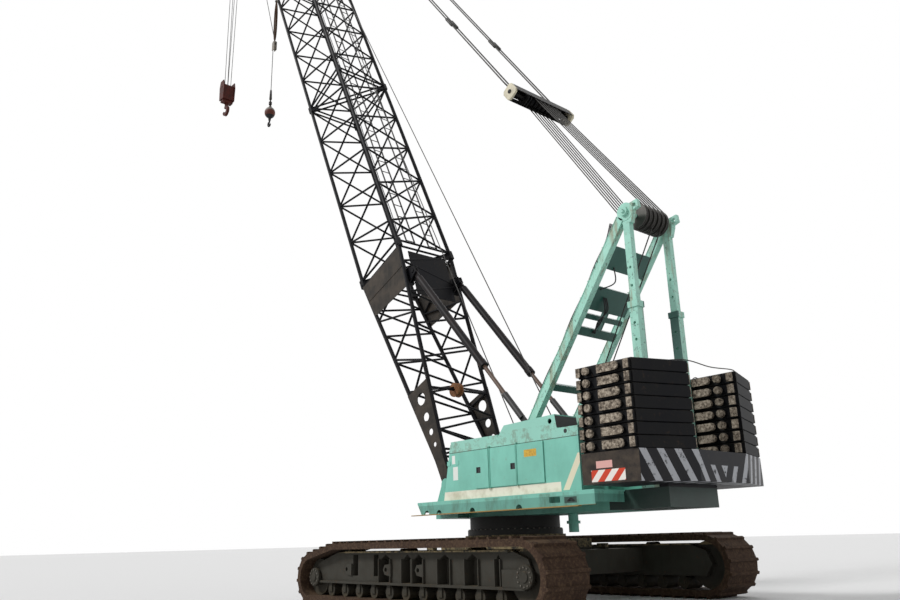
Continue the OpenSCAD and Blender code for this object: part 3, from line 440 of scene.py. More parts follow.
# Dark cast iron of the engine, oily
engine_paint = worn("oily_cast_iron", "#2A2B2C", "#1A1816", "#3A2A20", 0.5, 0.2, dirty=0.6, patch=0.3)
rope_steel = rope_material()
cab_glass = glass_material()

assign = {
    green_paint: "deck_left deck_right house_left house_right door_1 door_2 door_3",
    plain_green: "cab_shell cab_door",
    bed_paint: "revolving_frame",
    ring_steel: "slew_ring",
    mint_paint: "gantry_front gantry_rear",
    under_paint: "carbody track_frame_left track_frame_right wheels_left wheels_right",
    shoe_steel: "track_left track_right",
    plain_steel: "drum_front drum_boom gantry_head boom_sheaves",
    boom_paint: "boom_insert_1 boom_insert_2 boom_insert_3 boom_top",
    foot_paint: "boom_butt",
    spreader_paint: "spreader",
    weight_paint: "counterweight_slabs",
    striped_paint: "counterweight_tray",
    engine_paint: "engine",
    stop_paint: "backstop_tubes",
    rod_paint: "backstop_rods",
    hook_paint: "hook_block overhaul_ball",
    snatch_paint: "sling_block",
    mesh_steel: "boom_catwalk",
    seat_plastic: "cab_seat",
    cab_glass: "cab_glass",
    rope_steel: "reeving pendants hook_falls whip_fall",
}
for material, names in assign.items():
    for name in names.split():
        nodes[name].data.materials.clear()
        nodes[name].data.materials.append(material)


# Surfaces. A part is (points, four-sided faces, end faces, corner uv of the four-sided faces)


def grid_faces(rows, cols, closed):
    """Faces of a rows by cols grid that closes across, and along too where asked."""
    i = np.arange(rows if closed else rows - 1)[:, None]
    j = np.arange(cols)[None, :]
    a, b = i * cols + j, i * cols + (j + 1) % cols
    c, d = ((i + 1) % rows) * cols + (j + 1) % cols, ((i + 1) % rows) * cols + j
    return np.stack([a, b, c, d], -1).reshape(-1, 4)


def outward(points, quads, caps, uv):
    """Turns the faces round where the enclosed volume comes out negative."""
    p = points[quads]
    total = np.einsum("ij,ij->i", p[:, 0], np.cross(p[:, 1], p[:, 2]) + np.cross(p[:, 2], p[:, 3])).sum()
    for c in caps:
        q = points[c]
        total += np.einsum("ij,ij->i", np.broadcast_to(q[0], q[1:-1].shape), np.cross(q[1:-1], q[2:])).sum()
    if total < 0:
        quads, caps, uv = quads[:, ::-1], [c[::-1] for c in caps], uv[:, ::-1]
    return points, quads, caps, uv


def swept(points, rows, closed=False, uv=None):
    """Part from rows of points that each go once round it, with flat ends unless the rows close on themselves."""
    n = len(points) // rows
    quads = grid_faces(rows, n, closed)
    caps = [] if closed else [np.arange(n)[::-1], len(points) - n + np.arange(n)]
    return outward(points, quads, caps, np.zeros((len(quads), 4, 2)) if uv is None else uv)


def tube(path, radius, sides=8, closed=False, lay=0.06):
    """Round tube along a path. Ring i lies across the path at point i: centre + radius * (cos a * side +
    sin a * over). Its uv runs once around and once per lay along."""
    p = np.asarray(path, float)
    t = (np.roll(p, -1, 0) - np.roll(p, 1, 0)) if closed else np.gradient(p, axis=0)
    t /= np.linalg.norm(t, axis=1, keepdims=True)
    ref = np.eye(3)[np.argmin(np.abs(t).max(axis=0))]
    side = np.cross(t, ref)
    side /= np.linalg.norm(side, axis=1, keepdims=True)
    over = np.cross(side, t)
    a = np.linspace(0, 2 * np.pi, sides, endpoint=False)
    ring = np.cos(a)[None, :, None] * side[:, None] + np.sin(a)[None, :, None] * over[:, None]
    points = (p[:, None] + np.broadcast_to(radius, len(p))[:, None, None] * ring).reshape(-1, 3)
    steps = np.diff(np.concatenate([p, p[:1]]) if closed else p, axis=0)
    run = np.concatenate([[0], np.cumsum(np.linalg.norm(steps, axis=1))]) / lay
    u, s = np.meshgrid(np.arange(sides), np.arange(len(steps)))
    uv = np.stack([np.stack([(u + du) / sides, run[s + ds]], -1)
                   for du, ds in ((0, 0), (1, 0), (1, 1), (0, 1))], 2).reshape(-1, 4, 2)
    return swept(points, len(p), closed, uv)


def lathe(profile, origin, axis, sides=24):
    """Turned part: profile (radius, height) swept round an axis through origin, closed by flat ends."""
    c = np.array(axis, float) / np.linalg.norm(axis)
    side = np.cross(c, np.eye(3)[np.argmin(np.abs(c))])
    side /= np.linalg.norm(side)
    over = np.cross(c, side)
    g = np.linspace(0, 2 * np.pi, sides, endpoint=False)
    r, h = np.array(profile, float).T
    points = (np.array(origin, float) + h[:, None, None] * c
              + r[:, None, None] * (np.cos(g)[None, :, None] * side + np.sin(g)[None, :, None] * over)).reshape(-1, 3)
    return swept(points, len(r))


def prism(outline, origin, a, b, depth):
    """Flat part: outline (along a, along b) from origin, given depth along the cross product of a and b."""
    a, b = (np.array(v, float) / np.linalg.norm(v) for v in (a, b))
    o = np.array(outline, float)
    flat = np.array(origin, float) + o[:, :1] * a + o[:, 1:] * b
    points = np.concatenate([flat, flat + np.cross(a, b) * depth])
    return swept(points, 2)


def repeat(part, places):
    """Copies of a part at each place, as one part."""
    points, quads, caps, uv = part
    k, n = len(places), len(points)
    step = (np.arange(k) * n)
    return ((points[None] + np.asarray(places, float)[:, None]).reshape(-1, 3),
            (quads[None] + step[:, None, None]).reshape(-1, 4), [c + s for s in step for c in caps],
            np.tile(uv, (k, 1, 1)))


def piece(name, parts, material, body=None, between=None, flat=False):
    """One mesh object from parts, riding on a body, or, where between = (a, b, start, end) is given, baked in place
    on no body.
    """
    points, faces, uv, base, round_face = [], [], [], 0, []
    for v, quads, caps, q_uv in parts:
        points.append(v)
        faces += (quads + base).tolist() + [(c + base).tolist() for c in caps]
        uv += [q_uv.ravel()] + [np.zeros(2 * len(c)) for c in caps]
        round_face += [not flat] * len(quads) + [False] * len(caps)
        base += len(v)
    mesh = bpy.data.meshes.new(name)
    mesh.from_pydata(np.concatenate(points).tolist(), [], faces)
    mesh.uv_layers.new(name="UVMap").data.foreach_set("uv", np.concatenate(uv))
    mesh.polygons.foreach_set("use_smooth", round_face)
    mesh.materials.append(material)
    mesh.update()
    obj = bpy.data.objects.new(name, mesh)
    scene.collection.objects.link(obj)
    if between:
        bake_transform(obj)
    else:
        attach(obj, body)
    return obj


def arc(centre, r, start, end, y, n=14):
    """Points on a circle in the XZ plane, angles in degrees."""
    g = np.radians(np.linspace(start, end, n))
    return np.stack([centre[0] + r * np.cos(g), np.full(n, y), centre[1] + r * np.sin(g)], 1)


def belt(c0, r0, c1, r1, y):
    """Closed rope round two sheaves in the XZ plane: half a turn on each and 24 points along each straight run."""
    d = math.degrees(math.atan2(c1[1] - c0[1], c1[0] - c0[0]))
    far, near = arc(c1, r1, d - 90, d + 90, y), arc(c0, r0, d + 90, d + 270, y)
    t = np.linspace(0, 1, 26)[1:-1, None]
    return np.concatenate([far, far[-1] + (near[0] - far[-1]) * t, near, near[-1] + (far[0] - near[-1]) * t])


def straight(a, b, n=30):
    """Points at n even steps on the straight line from a to b."""
    return np.asarray(a, float) + (np.asarray(b, float) - np.asarray(a, float)) * np.linspace(0, 1, n)[:, None]


def smooth_path(points, n=40):
    """Smooth curve through points: Catmull-Rom, each stretch weighted by the cubic of its neighbours."""
    p = np.asarray(points, float)
    q = np.concatenate([2 * p[:1] - p[1:2], p, 2 * p[-1:] - p[-2:-1]])
    u = np.linspace(0, len(p) - 1 - 1e-9, n)
    i, f = u.astype(int), (u % 1)[:, None]
    a, b, c, d = q[i], q[i + 1], q[i + 2], q[i + 3]
    return 0.5 * (2 * b + (c - a) * f + (2 * a - 5 * b + 4 * c - d) * f ** 2 + (3 * b - a - 3 * c + d) * f ** 3)


def placed(part, origin, angle):
    """A part drawn in a local frame, x along the member and z across it, turned about Y by angle and moved."""
    points, quads, caps, uv = part
    c, s = math.cos(angle), math.sin(angle)
    x, y, z = points.T
    return np.stack([origin[0] + x * c - z * s, y, origin[1] + x * s + z * c], 1), quads, caps, uv


def side(outline, y0, y1):
    """Flat plate in the XZ plane from y0 to y1."""
    return prism(outline, (0, y0, 0), (1, 0, 0), (0, 0, 1), -(y1 - y0))


def cuboid(low, high):
    """Box along the axes between its lowest and its highest corner."""
    (x0, y0, z0), (x1, y1, z1) = low, high
    return side([(x0, z0), (x1, z0), (x1, z1), (x0, z1)], y0, y1)


def bar(x, z, y0, y1, r, sides=24):
    """Round bar along Y with a small chamfer at both ends."""
    e = min(0.006, r * 0.2)
    return lathe([(r - e, y0), (r, y0 + e), (r, y1 - e), (r - e, y1)], (x, 0, z), (0, 1, 0), sides)


def plate_with_hole(corners, centre, r, y0, y1, n=8):
    """Four-sided plate with a round hole: n points on each edge, each joined to the hole's point in its direction.
    The rings are outer front, hole front, hole back and outer back, and close on themselves."""
    c = np.array(corners, float)
    t = np.arange(n)[:, None] / n
    outer = np.concatenate([c[k] + (c[(k + 1) % 4] - c[k]) * t for k in range(4)])
    d = outer - np.array(centre)
    inner = np.array(centre) + r * d / np.linalg.norm(d, axis=1, keepdims=True)
    rings = [np.stack([p[:, 0], np.full(len(p), y), p[:, 1]], 1) for p, y in (
        (outer, y0), (inner, y0), (inner, y1), (outer, y1))]
    return swept(np.concatenate(rings), 4, True)


def mirrored(parts):
    """The parts and their mirror images over the XZ plane."""
    return parts + [outward(p * np.array([1, -1, 1]), q, c, uv) for p, q, c, uv in parts]


def sheave_part(x, z, y, r):
    """Grooved sheave: rims 58 mm apart and a floor 25 mm deep."""
    w, f = 0.029, 0.006
    return lathe([(0.056, y - w - f), (r, y - w - f), (r, y - w), (r - GROOVE, y - w / 2), (r - GROOVE, y + w / 2),
                  (r, y + w), (r, y + w + f), (0.056, y + w + f)], (x, 0, z), (0, 1, 0), 48)


# Counterweight slabs: chamfered bodies, and on each end lugs, a bar and end blocks over a recess

SLAB_PLAN = np.array([(-3.99, SLAB_SIDE), (-5.265, SLAB_SIDE), (-5.66, 0.85), (-4.01, 0.88)])
LUG_R, BLOCK_INSET = 0.078, 0.030
OUTER_ROOT, INNER_ROOT = SLAB_SIDE - 0.01, 0.90
# Lugs as place along X and the two ends along Y, blocks as both ends along X and along Y
SLAB_LUGS = ((-4.24, OUTER_ROOT, 2.170), (-4.93, OUTER_ROOT, 2.150),
             (-5.27, 0.710, INNER_ROOT), (-5.02, 0.735, INNER_ROOT))
SLAB_BLOCKS = ((-4.09, -3.992, OUTER_ROOT, 2.128), (-5.24, -5.13, OUTER_ROOT, 2.128),
               (-5.61, -5.49, 0.745, INNER_ROOT))
OUTER_BAR, INNER_BAR = (-4.93, -4.50, OUTER_ROOT, 2.125), (-5.02, -4.68, 0.755, INNER_ROOT)


def slab_parts():
    """One slab: its plan, drawn in at top and bottom, with lugs, bars and blocks on its ends. The inner ones stay
    clear of the gantry's rear legs."""
    towards = SLAB_PLAN.mean(0) - SLAB_PLAN
    shrunk = SLAB_PLAN + towards / np.linalg.norm(towards, axis=1, keepdims=True) * SLAB_INSET * 1.4
    levels = ((shrunk, 0.0), (SLAB_PLAN, SLAB_EDGE), (SLAB_PLAN, SLAB_H - SLAB_EDGE), (shrunk, SLAB_H))
    body = swept(np.concatenate([np.column_stack([p, np.full(4, h)]) for p, h in levels]), 4)
    middle, (x0, x1, y0, y1) = SLAB_H / 2, OUTER_BAR
    half_turn = np.radians(np.linspace(90, 270, 11))
    rounded = [(x0 + LUG_R * math.cos(a), middle + LUG_R * math.sin(a)) for a in half_turn]
    parts = [body, side(rounded + [(x1, middle - LUG_R), (x1, middle + LUG_R)], y0, y1)]
    parts += [bar(x, middle, near, far, LUG_R) for x, near, far in SLAB_LUGS]
    parts += [cuboid((a, near, BLOCK_INSET), (b, far, SLAB_H - BLOCK_INSET)) for a, b, near, far in SLAB_BLOCKS]
    x0, x1, y0, y1 = INNER_BAR
    return mirrored(parts + [cuboid((x0, y0, middle - LUG_R), (x1, y1, middle + LUG_R))])


heights = [(0, 0, TRAY_Z + TRAY_H + i * SLAB_H) for i in range(SLAB_N)]
slabs = piece("counterweight_stacks", [repeat(p, heights) for p in slab_parts()], weight_paint, "upper", flat=True)
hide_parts("counterweight_slabs")


# Front gantry legs: box legs with flange strips, cross plates, head plates, pegs and pins

LEG_ANGLE = math.atan2(LEG_FOOT[1] - HEAD[1], LEG_FOOT[0] - HEAD[0])
LEG_BACK, LEG_FACE, LEG_BOSS, STRIP_OUT = -0.050, 0.150, 0.160, 0.010
CROSS_PLATES = ((0.745, 1.280), (1.690, 2.240), (2.340, 2.460), (2.660, 2.860), (4.100, 4.260))
CROSS_HALF, TIE_FROM, TIE_TO, RUNG_S, RUNG_R = 0.04, 2.240, 2.660, 5.3, 0.03
PEG_S, PEG_TOP = np.arange(0.9, 5.8, 0.4), LEG_FACE + 0.09
HEAD_PLATE = ((-0.13, -0.27), (0.08, -0.27), (0.20, -0.06), (0.16, 0.12), (-0.16, 0.12), (-0.20, -0.06))
HEAD_EYE, EYE_HOLE, EYE_R = ((-0.34, 0.03), (-0.13, -0.04), (-0.13, 0.17), (-0.32, 0.20)), (-0.24, 0.09), 0.045


def leg_parts():
    """Boxes along the leg, turned to it, then plates and bars about the pins at head, foot and backstop."""
    half = [cuboid((LEG_BOSS, y0, h0), (LEG_LEN - LEG_BOSS, y1, h1)) for y0, y1, h0, h1 in (
        (LEG_IN, LEG_OUT, LEG_BACK + LEG_STRIP, LEG_FACE - LEG_STRIP),
        (LEG_IN - STRIP_OUT, LEG_OUT + STRIP_OUT, LEG_FACE - LEG_STRIP, LEG_FACE),
        (LEG_IN - STRIP_OUT, LEG_OUT + STRIP_OUT, LEG_BACK, LEG_BACK + LEG_STRIP))]
    peg = [(0.012, LEG_FACE), (0.012, PEG_TOP), (0.009, PEG_TOP + 0.003)]
    half += [lathe(peg, (s, LEG_Y, 0), (0, 0, 1), 8) for s in PEG_S]
    between = [cuboid((a, -LEG_IN, -CROSS_HALF), (b, LEG_IN, CROSS_HALF)) for a, b in CROSS_PLATES]
    between += [cuboid((TIE_FROM, y - 0.02, -0.035), (TIE_TO, y + 0.02, 0.035)) for y in (-0.06, 0.06)]
    between.append(tube([(RUNG_S, -LEG_IN, 0.06), (RUNG_S, LEG_IN, 0.06)], RUNG_R, 12))
    local = [placed(p, HEAD, LEG_ANGLE) for p in mirrored(half) + between]
    plate, eye = ([tuple(HEAD + p) for p in outline] for outline in (HEAD_PLATE, HEAD_EYE))
    world = [side(plate, LEG_IN + 0.008, LEG_OUT - 0.008),
             plate_with_hole(eye, HEAD + EYE_HOLE, EYE_R, LEG_IN + 0.02, LEG_OUT - 0.02)]
    world += [bar(*centre, y0, y1, r, sides) for centre, y0, y1, r, sides in (
        (HEAD, LEG_IN, LEG_OUT, 0.205, 40), (HEAD, LEG_OUT, LEG_OUT + 0.06, 0.095, 24),
        (HEAD, LEG_OUT, LEG_OUT + 0.10, 0.04, 24), (LEG_FOOT, LEG_IN + 0.008, LEG_OUT, LEG_BOSS, 40),
        (LEG_FOOT, LEG_IN - 0.008, LEG_OUT + 0.04, 0.055, 24), (STOP_LOW, LEG_OUT, 0.88, 0.045, 24))]
    return local + mirrored(world) + [bar(*HEAD, -LEG_IN, LEG_IN, 0.055)]


legs = piece("front_gantry_legs", leg_parts(), mint_paint, "upper", flat=True)
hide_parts("gantry_front")


# Spreader: closed box beam between cream end plates, with its sheaves and pendant sockets


def on_line(parts):
    """Parts drawn along the luffing line, turned to it about the gantry head."""
    return [placed(p, HEAD, LINE_ANGLE) for p in parts]


SHEAVE_Y = (np.arange(6) - 2.5) * 0.150
BEAM_HALF, BEAM_REAR, BEAM_SIDE, BEAM_SKIN = 1.040, BAR_S - 0.150, 0.160, 0.016
BEAM_FRONT = BAR_S + BEAM_SIDE
END_PLATE = [(-0.19, -0.12), (-0.19, 0.12), (-0.12, 0.185), (0.12, 0.185), (0.19, 0.12), (0.19, -0.12),
             (0.12, -0.185), (-0.12, -0.185)]
beam = [cuboid((BEAM_REAR, -BEAM_HALF, h), (BEAM_FRONT, BEAM_HALF, h + BEAM_SKIN))
        for h in (-BEAM_SIDE - BEAM_SKIN, BEAM_SIDE)]
beam += [cuboid((BEAM_FRONT, -BEAM_HALF, -0.150), (BEAM_FRONT + BEAM_SKIN, BEAM_HALF, 0.150))]
beam += [cuboid((BAR_S + 0.020, y - 0.09, -0.06), (BAR_S + 0.360, y + 0.09, 0.06)) for y in (-0.85, 0.85)]
beam += [bar(BAR_S, 0, -1.12, 1.12, 0.055)] + [sheave_part(BAR_S, 0, y, BAR_R) for y in SHEAVE_Y]
beam += [side([(BAR_S + s * 0.9, h * 0.9) for s, h in END_PLATE], y, y + 0.03)
         for y in (-0.60, -0.51, 0.48, 0.57)]
spreader = piece("spreader_beam", on_line(beam), spreader_paint, "spreader", flat=True)
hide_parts("spreader")
beam_end = side([(BAR_S + s, h) for s, h in END_PLATE], BEAM_HALF, BEAM_HALF + 0.060)
piece("spreader_ends", on_line(mirrored([beam_end])), cream_paint, "spreader", flat=True)

PENDANT_R, PENDANT_Y = 0.020, (-0.950, -0.750, 0.750, 0.950)
# Sockets where two lengths of pendant meet: places along them and radii
SOCKET_S, SOCKET_R = (0.0, 0.05, 0.45, 0.50), (0.022, 0.045, 0.045, 0.022)
pendants = []
for y in PENDANT_Y:
    pendants.append(tube([(BAR_S + 0.32, y * 0.97, 0), (BAR_S + 0.60, y, 0), (LINE_LEN - 0.06, y, 0)], PENDANT_R, 8))
    pendants += [tube([(start + s, y, 0) for s in SOCKET_S], SOCKET_R, 10)
                 for start in np.arange(BAR_S + 4.0, LINE_LEN - 1.0, INSERT_U)]
ropes = piece("pendant_ropes", on_line(pendants), rope_steel, "spreader")
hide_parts("pendants")


# Boom butt: chords, lacing, foot webs with lightening holes, hip plates, rear plate and backstop ears

FOOT_Y, FOOT_N = 1.040, 0.060
CHORD_R, LACE_R = 0.058, 0.032
CORNERS = ((1, -1), (1, 1), (-1, 1), (-1, -1))
LACE_END, FACE_LACE_U, SIDE_LACE_U, CROSS_U = BUTT_U - 0.11, 2.65, 0.90, 2.60
LUG_LEN, LUG_HALF_Y, LUG_HALF_N, PIN_R, PIN_OUT = 0.15, 0.055, 0.08, 0.03, 0.024
REAR_PLATE_U, REAR_PLATE_HALF, PLATE_T = (5.50, 6.96), 0.70, 0.02
EAR, EAR_T, EAR_Y = [(5.85, 0.78), (6.35, 0.78), (6.18, 1.15), (5.97, 1.15)], 0.04, (0.748, 0.852)
EAR_FOOT = (5.85, 0.69, 0.70), (6.35, 0.985, 0.79)
STOP_U, STOP_N, STOP_BOSS_R, STOP_BOSS_Y = 6.075, 1.05, 0.06, (0.728, 0.872)


def on_boom(parts):
    """Parts drawn along the boom, turned to it about its foot."""
    return [placed(p, FOOT, BOOM_ANGLE) for p in parts]


def half_n(u):
    """Half the butt's depth, straight from the foot to the full section."""
    return FOOT_N + (BOOM_HALF - FOOT_N) * u / BUTT_U


def half_y(u):
    """Half the butt's width, straight from the foot to the full section."""
    return FOOT_Y + (BOOM_HALF - FOOT_Y) * u / BUTT_U


def corner(u, c):
    """Point of chord c, given as its two signs, at distance u along the butt."""
    return u, c[0] * half_y(u), c[1] * half_n(u)


def lacing(k, u0, u1, n):
    """End bars and n bays of zigzag tubes on side k of the butt."""
    a, b = CORNERS[k], CORNERS[(k + 1) % 4]
    near, far = (a, b) if k % 2 == 0 else (b, a)
    step = (u1 - u0) / n
    runs = [(corner(e, a), corner(e, b)) for e in (u0, u1)]
    for i in range(n):
        p = u0 + i * step
        runs += [(corner(p, near), corner(p + step / 2, far)), (corner(p + step / 2, far), corner(p + step, near))]
    return [tube(r, LACE_R, 8) for r in runs]


def butt_lattice():
    """Four tapered chords with lacing, end lugs and pins, a cross tube, the rear plate and two pairs of ears."""
    parts = [tube([corner(0.10, c), corner(BUTT_U - 0.008, c)], CHORD_R, 12) for c in CORNERS]
    for k in (0, 2):
        parts += lacing(k, FACE_LACE_U, LACE_END, 3)
    for k in (1, 3):
        parts += lacing(k, SIDE_LACE_U, LACE_END, 6)
    for c in CORNERS:
        u, y, n = corner(BUTT_U, c)
        near, far = y - LUG_HALF_Y, y + LUG_HALF_Y
        parts += [cuboid((u - LUG_LEN, near, n - LUG_HALF_N), (u, far, n + LUG_HALF_N)),
                  bar(u - LUG_LEN / 2, n, near - PIN_OUT, far + PIN_OUT, PIN_R)]
    parts.append(tube([corner(CROSS_U, CORNERS[2]), corner(CROSS_U, CORNERS[1])], LACE_R, 8))
    low, high = [(u, half_n(u)) for u in REAR_PLATE_U]
    rear = [low, high, (high[0], high[1] + PLATE_T), (low[0], low[1] + PLATE_T)]
    parts.append(side(rear, -REAR_PLATE_HALF, REAR_PLATE_HALF))
    ears = [side(EAR, y, y + EAR_T) for y in EAR_Y] + [cuboid(*EAR_FOOT)]
    ears += [bar(STOP_U, STOP_N, y, y + EAR_T, STOP_BOSS_R) for y in STOP_BOSS_Y]
    return on_boom(parts + mirrored(ears))


# Holes of the foot webs as place along the boom, place across it and radius, and the cuts between them
WEB_HOLES = ((2.45, 0.02, 0.165), (1.92, 0.0, 0.115), (1.48, 0.0, 0.085), (1.12, 0.0, 0.060))
WEB_CUTS, WEB_EDGE, WEB_Y = (2.82, 2.14, 1.70, 1.29, 0.85), 0.02, (1.066, 1.090)
FOOT_BAR, FOOT_HALF, FOOT_R = [(-0.04, -0.14), (-0.04, 0.14), (0.85, 0.165), (0.85, -0.165)], 0.065, 0.15
HIP, HIP_Y = [(7.04, -0.965), (7.03, 0.95), (5.70, 0.77), (5.83, -0.79)], BOOM_HALF + 0.045
HIP_ROD, HIP_ROD_R = [(u, HIP_Y + 0.022, n) for u, n in ((6.43, -0.88), (6.37, 0.86))], 0.012


def butt_plates():
    """Foot bars with their bosses, webs cut into one plate for each hole, and hip plates with a rod."""
    half = [side(FOOT_BAR, FOOT_Y - FOOT_HALF, FOOT_Y + FOOT_HALF),
            bar(0, 0, FOOT_Y - FOOT_HALF, FOOT_Y + FOOT_HALF, FOOT_R, 40)]
    for (u, n, r), b, a in zip(WEB_HOLES, WEB_CUTS, WEB_CUTS[1:]):
        na, nb = half_n(a) + WEB_EDGE, half_n(b) + WEB_EDGE
        half.append(plate_with_hole([(a, -na), (b, -nb), (b, nb), (a, na)], (u, n), r, *WEB_Y))
    return on_boom(mirrored(half + [side(HIP, HIP_Y, HIP_Y + PLATE_T), tube(HIP_ROD, HIP_ROD_R, 8)]))


butt = piece("butt_lattice", butt_lattice(), boom_paint, "boom", flat=True)
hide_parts("boom_butt")
piece("butt_plates", butt_plates(), foot_paint, "boom", flat=True)

# Rusty reel that guides the hoist ropes over the butt's rear face, as radius and place along its pin
REEL = [(0.033, -0.09), (0.19, -0.09), (0.19, -0.06), (0.13, -0.05), (0.13, 0.05), (0.19, 0.06), (0.19, 0.09),
        (0.033, 0.09)]
reel = lathe(REEL, (CROSS_U, 0.10, half_n(CROSS_U)), (0, 1, 0), 32)
piece("butt_reel", on_boom([reel]), reel_rust, "boom", flat=True)

# Overhaul ball: socket, swivel, weight and hook in one row under the whip rope
ball_x, ball_y = (BALL_LOW + BALL_HIGH)[:2] / 2
WEIGHT_R, HOOK_R, HOOK_Z = 0.205, 0.085, BALL_LOW[2] + 0.125
belt_turn = np.radians(np.linspace(70, -70, 15))
# Socket and swivel as radius and depth below the top
SOCKET = ((0.025, 0.0), (0.038, 0.05), (0.055, 0.42), (0.028, 0.46), (0.028, 0.52), (0.062, 0.55), (0.062, 0.66),
          (0.030, 0.69))
ball_profile = [(r, BALL_HIGH[2] - depth) for r, depth in SOCKET] + [(0.045, WEIGHT_Z + 0.30)]
ball_profile += [(WEIGHT_R * math.cos(a), WEIGHT_Z + 1.15 * WEIGHT_R * math.sin(a)) for a in belt_turn]
ball_profile += [(0.05, WEIGHT_Z - 0.27), (0.05, WEIGHT_Z - 0.33)]
hook_turn = np.radians(np.linspace(90, -170, 20))
hook = np.stack([ball_x + HOOK_R * np.cos(hook_turn), np.full(20, ball_y), HOOK_Z + HOOK_R * np.sin(hook_turn)], 1)
hook = np.concatenate([[(ball_x, ball_y, WEIGHT_Z - 0.31)], hook])
hook_radii = np.concatenate([[0.035], 0.022 + 0.020 * np.sin(np.linspace(0.5, math.pi, 20))])
ball = piece("ball_and_hook", [lathe(ball_profile, (ball_x, ball_y, 0), (0, 0, 1), 32), tube(hook, hook_radii, 12)],
             ball_paint, "overhaul_ball", flat=True)
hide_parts("overhaul_ball")

# Covers that close the hook block between its cheeks
COVER_X, COVER_HALF, COVER_T = (HEAD_SHEAVE[0] - 0.185, HEAD_SHEAVE[0] + 0.171), 0.25, 0.014
piece("hook_block_covers", [cuboid((x, -COVER_HALF, BLOCK_TOP - 0.98), (x + COVER_T, COVER_HALF, BLOCK_TOP - 0.22))
                            for x in COVER_X], hook_paint, "hook_block", flat=True)

# Webbing sling of the whip line's block, its two strands spread in mid drop
WEB_DROP, WEB_HALF = SLING[2] - WHIP_Z, 0.05
WEB_WAY = ((0.02, 0.4), (0.20, 1.0), (0.55, 1.3), (0.78, 0.8), (0.86, 0.2))
web_radii = np.interp(np.linspace(0, 1, 24), (0, 0.3, 0.6, 1), (0.026, 0.045, 0.042, 0.024))
strands = [tube(smooth_path([(SLING[0] + k * spread, SLING[1], SLING[2] - share * WEB_DROP)
                             for share, spread in WEB_WAY], 24), web_radii, 10) for k in (-WEB_HALF, WEB_HALF)]
piece("sling_webbing", strands, webbing, "sling_block")


# Ropes

ROPE_R, FALL_Y = ROPE_D / 2, (-0.070, 0.070)
BAR, BLOCK = line_point(BAR_S, 0, 0)[[0, 2]], np.array([HEAD_SHEAVE[0], BLOCK_Z])
luffing = piece("luffing_ropes", [tube(belt(HEAD, on_rim(GANTRY_R), BAR, on_rim(BAR_R), y), ROPE_R, 8, True)
                                  for y in SHEAVE_Y], rope_steel,
                between=("hoist_line", "spreader", line_point(0.4, 0, 0), line_point(BAR_S - 0.3, 0, 0)))
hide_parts("reeving")
falls = piece("main_fall_ropes", [tube(belt(HEAD_SHEAVE[[0, 2]], on_rim(HEAD_R), BLOCK, on_rim(BLOCK_R), y),
                                       ROPE_R, 8, True) for y in FALL_Y], rope_steel,
              between=("main_falls", "hook_block", HEAD_SHEAVE - np.array([0, 0, 0.6]),
                       np.array([BLOCK[0], 0, BLOCK[1] + 0.4])))
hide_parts("hook_falls")
over = arc((SLING[0], WHIP_Z), on_rim(WHIP_R), 150, 0, SLING[1])
down = straight(over[-1], [over[-1][0], SLING[1], BALL_TOP + 0.0003], 24)
whip = piece("whip_rope", [tube(np.concatenate([over, down[1:]]), ROPE_R)], rope_steel,
             between=("sling_block", "overhaul_ball", over[-1] - np.array([0, 0, 0.4]),
                      down[-1] + np.array([0, 0, 0.3])))
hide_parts("whip_fall")
tip = boom_point(TIP_U - 0.9, -1.30, SLING[1] * 0.35)
piece("whip_lead_rope", [tube(straight(tip, over[0], 40), ROPE_R)], rope_steel,
      between=("boom", "sling_block", over[0] + (tip - over[0]) * 0.12, over[0]))


def drum_rope(drum, r, y0, y1):
    """Rope from the top of a winch drum to a guide sheave of the boom head."""
    end = boom_point(TIP_U - 0.120, 0.560 + GUIDE_R, y1)
    v = np.array([end[0] - drum[0], end[2] - drum[1]])
    v /= np.linalg.norm(v)
    return straight([drum[0] - v[1] * r, y0, drum[1] + v[0] * r], end, 60)


for name, path in (("hoist_rope_1", drum_rope(BOOM_DRUM, 0.258, -0.10, 0.30)),
                   ("hoist_rope_2", drum_rope(FRONT_DRUM, 0.278, 0.0, 0.10))):
    piece(name, [tube(path, ROPE_R)], rope_steel, between=("upper", "boom", path[2], path[6]))
for name, y in (("luffing_lead_1", -0.225), ("luffing_lead_2", 0.075)):
    top = np.array([HEAD[0] - 0.18, y, HEAD[1] - on_rim(GANTRY_R) + 0.06])
    end = [BOOM_DRUM[0] - 0.20, y * 0.6, BOOM_DRUM[1] + 0.18]
    piece(name, [tube(straight(top, end), ROPE_R)], rope_steel, "upper")

WIRE_R = 0.011
# The wire's bends over the stacks as x, y and height above their top
WIRE = ((-5.10, 1.30, 0.012), (-5.60, 0.88, 0.02), (-5.62, 0.0, -0.02), (-5.60, -0.88, 0.02), (-5.20, -1.50, 0.012))
wire = smooth_path([(x, y, STACK_TOP + h) for x, y, h in WIRE])
piece("stack_wire", [tube(wire, WIRE_R, 6)], rope_steel, "upper")
LOOPS = ((-4.90, 1.35), (-4.40, 1.60), (-5.15, -1.45), (-4.50, -1.20), (-4.55, 1.05))
piece("stack_loops", [tube(arc((x, STACK_TOP), 0.085, 0, 180, y, 12), WIRE_R, 6) for x, y in LOOPS], rope_steel,
      "upper")


# Hoses, cables and fittings


def hoses(name, paths, r, body):
    """Round hoses along smooth curves through the points of each path."""
    piece(name, [tube(smooth_path(p, 48), r, 8) for p in paths], hose_rubber, body)


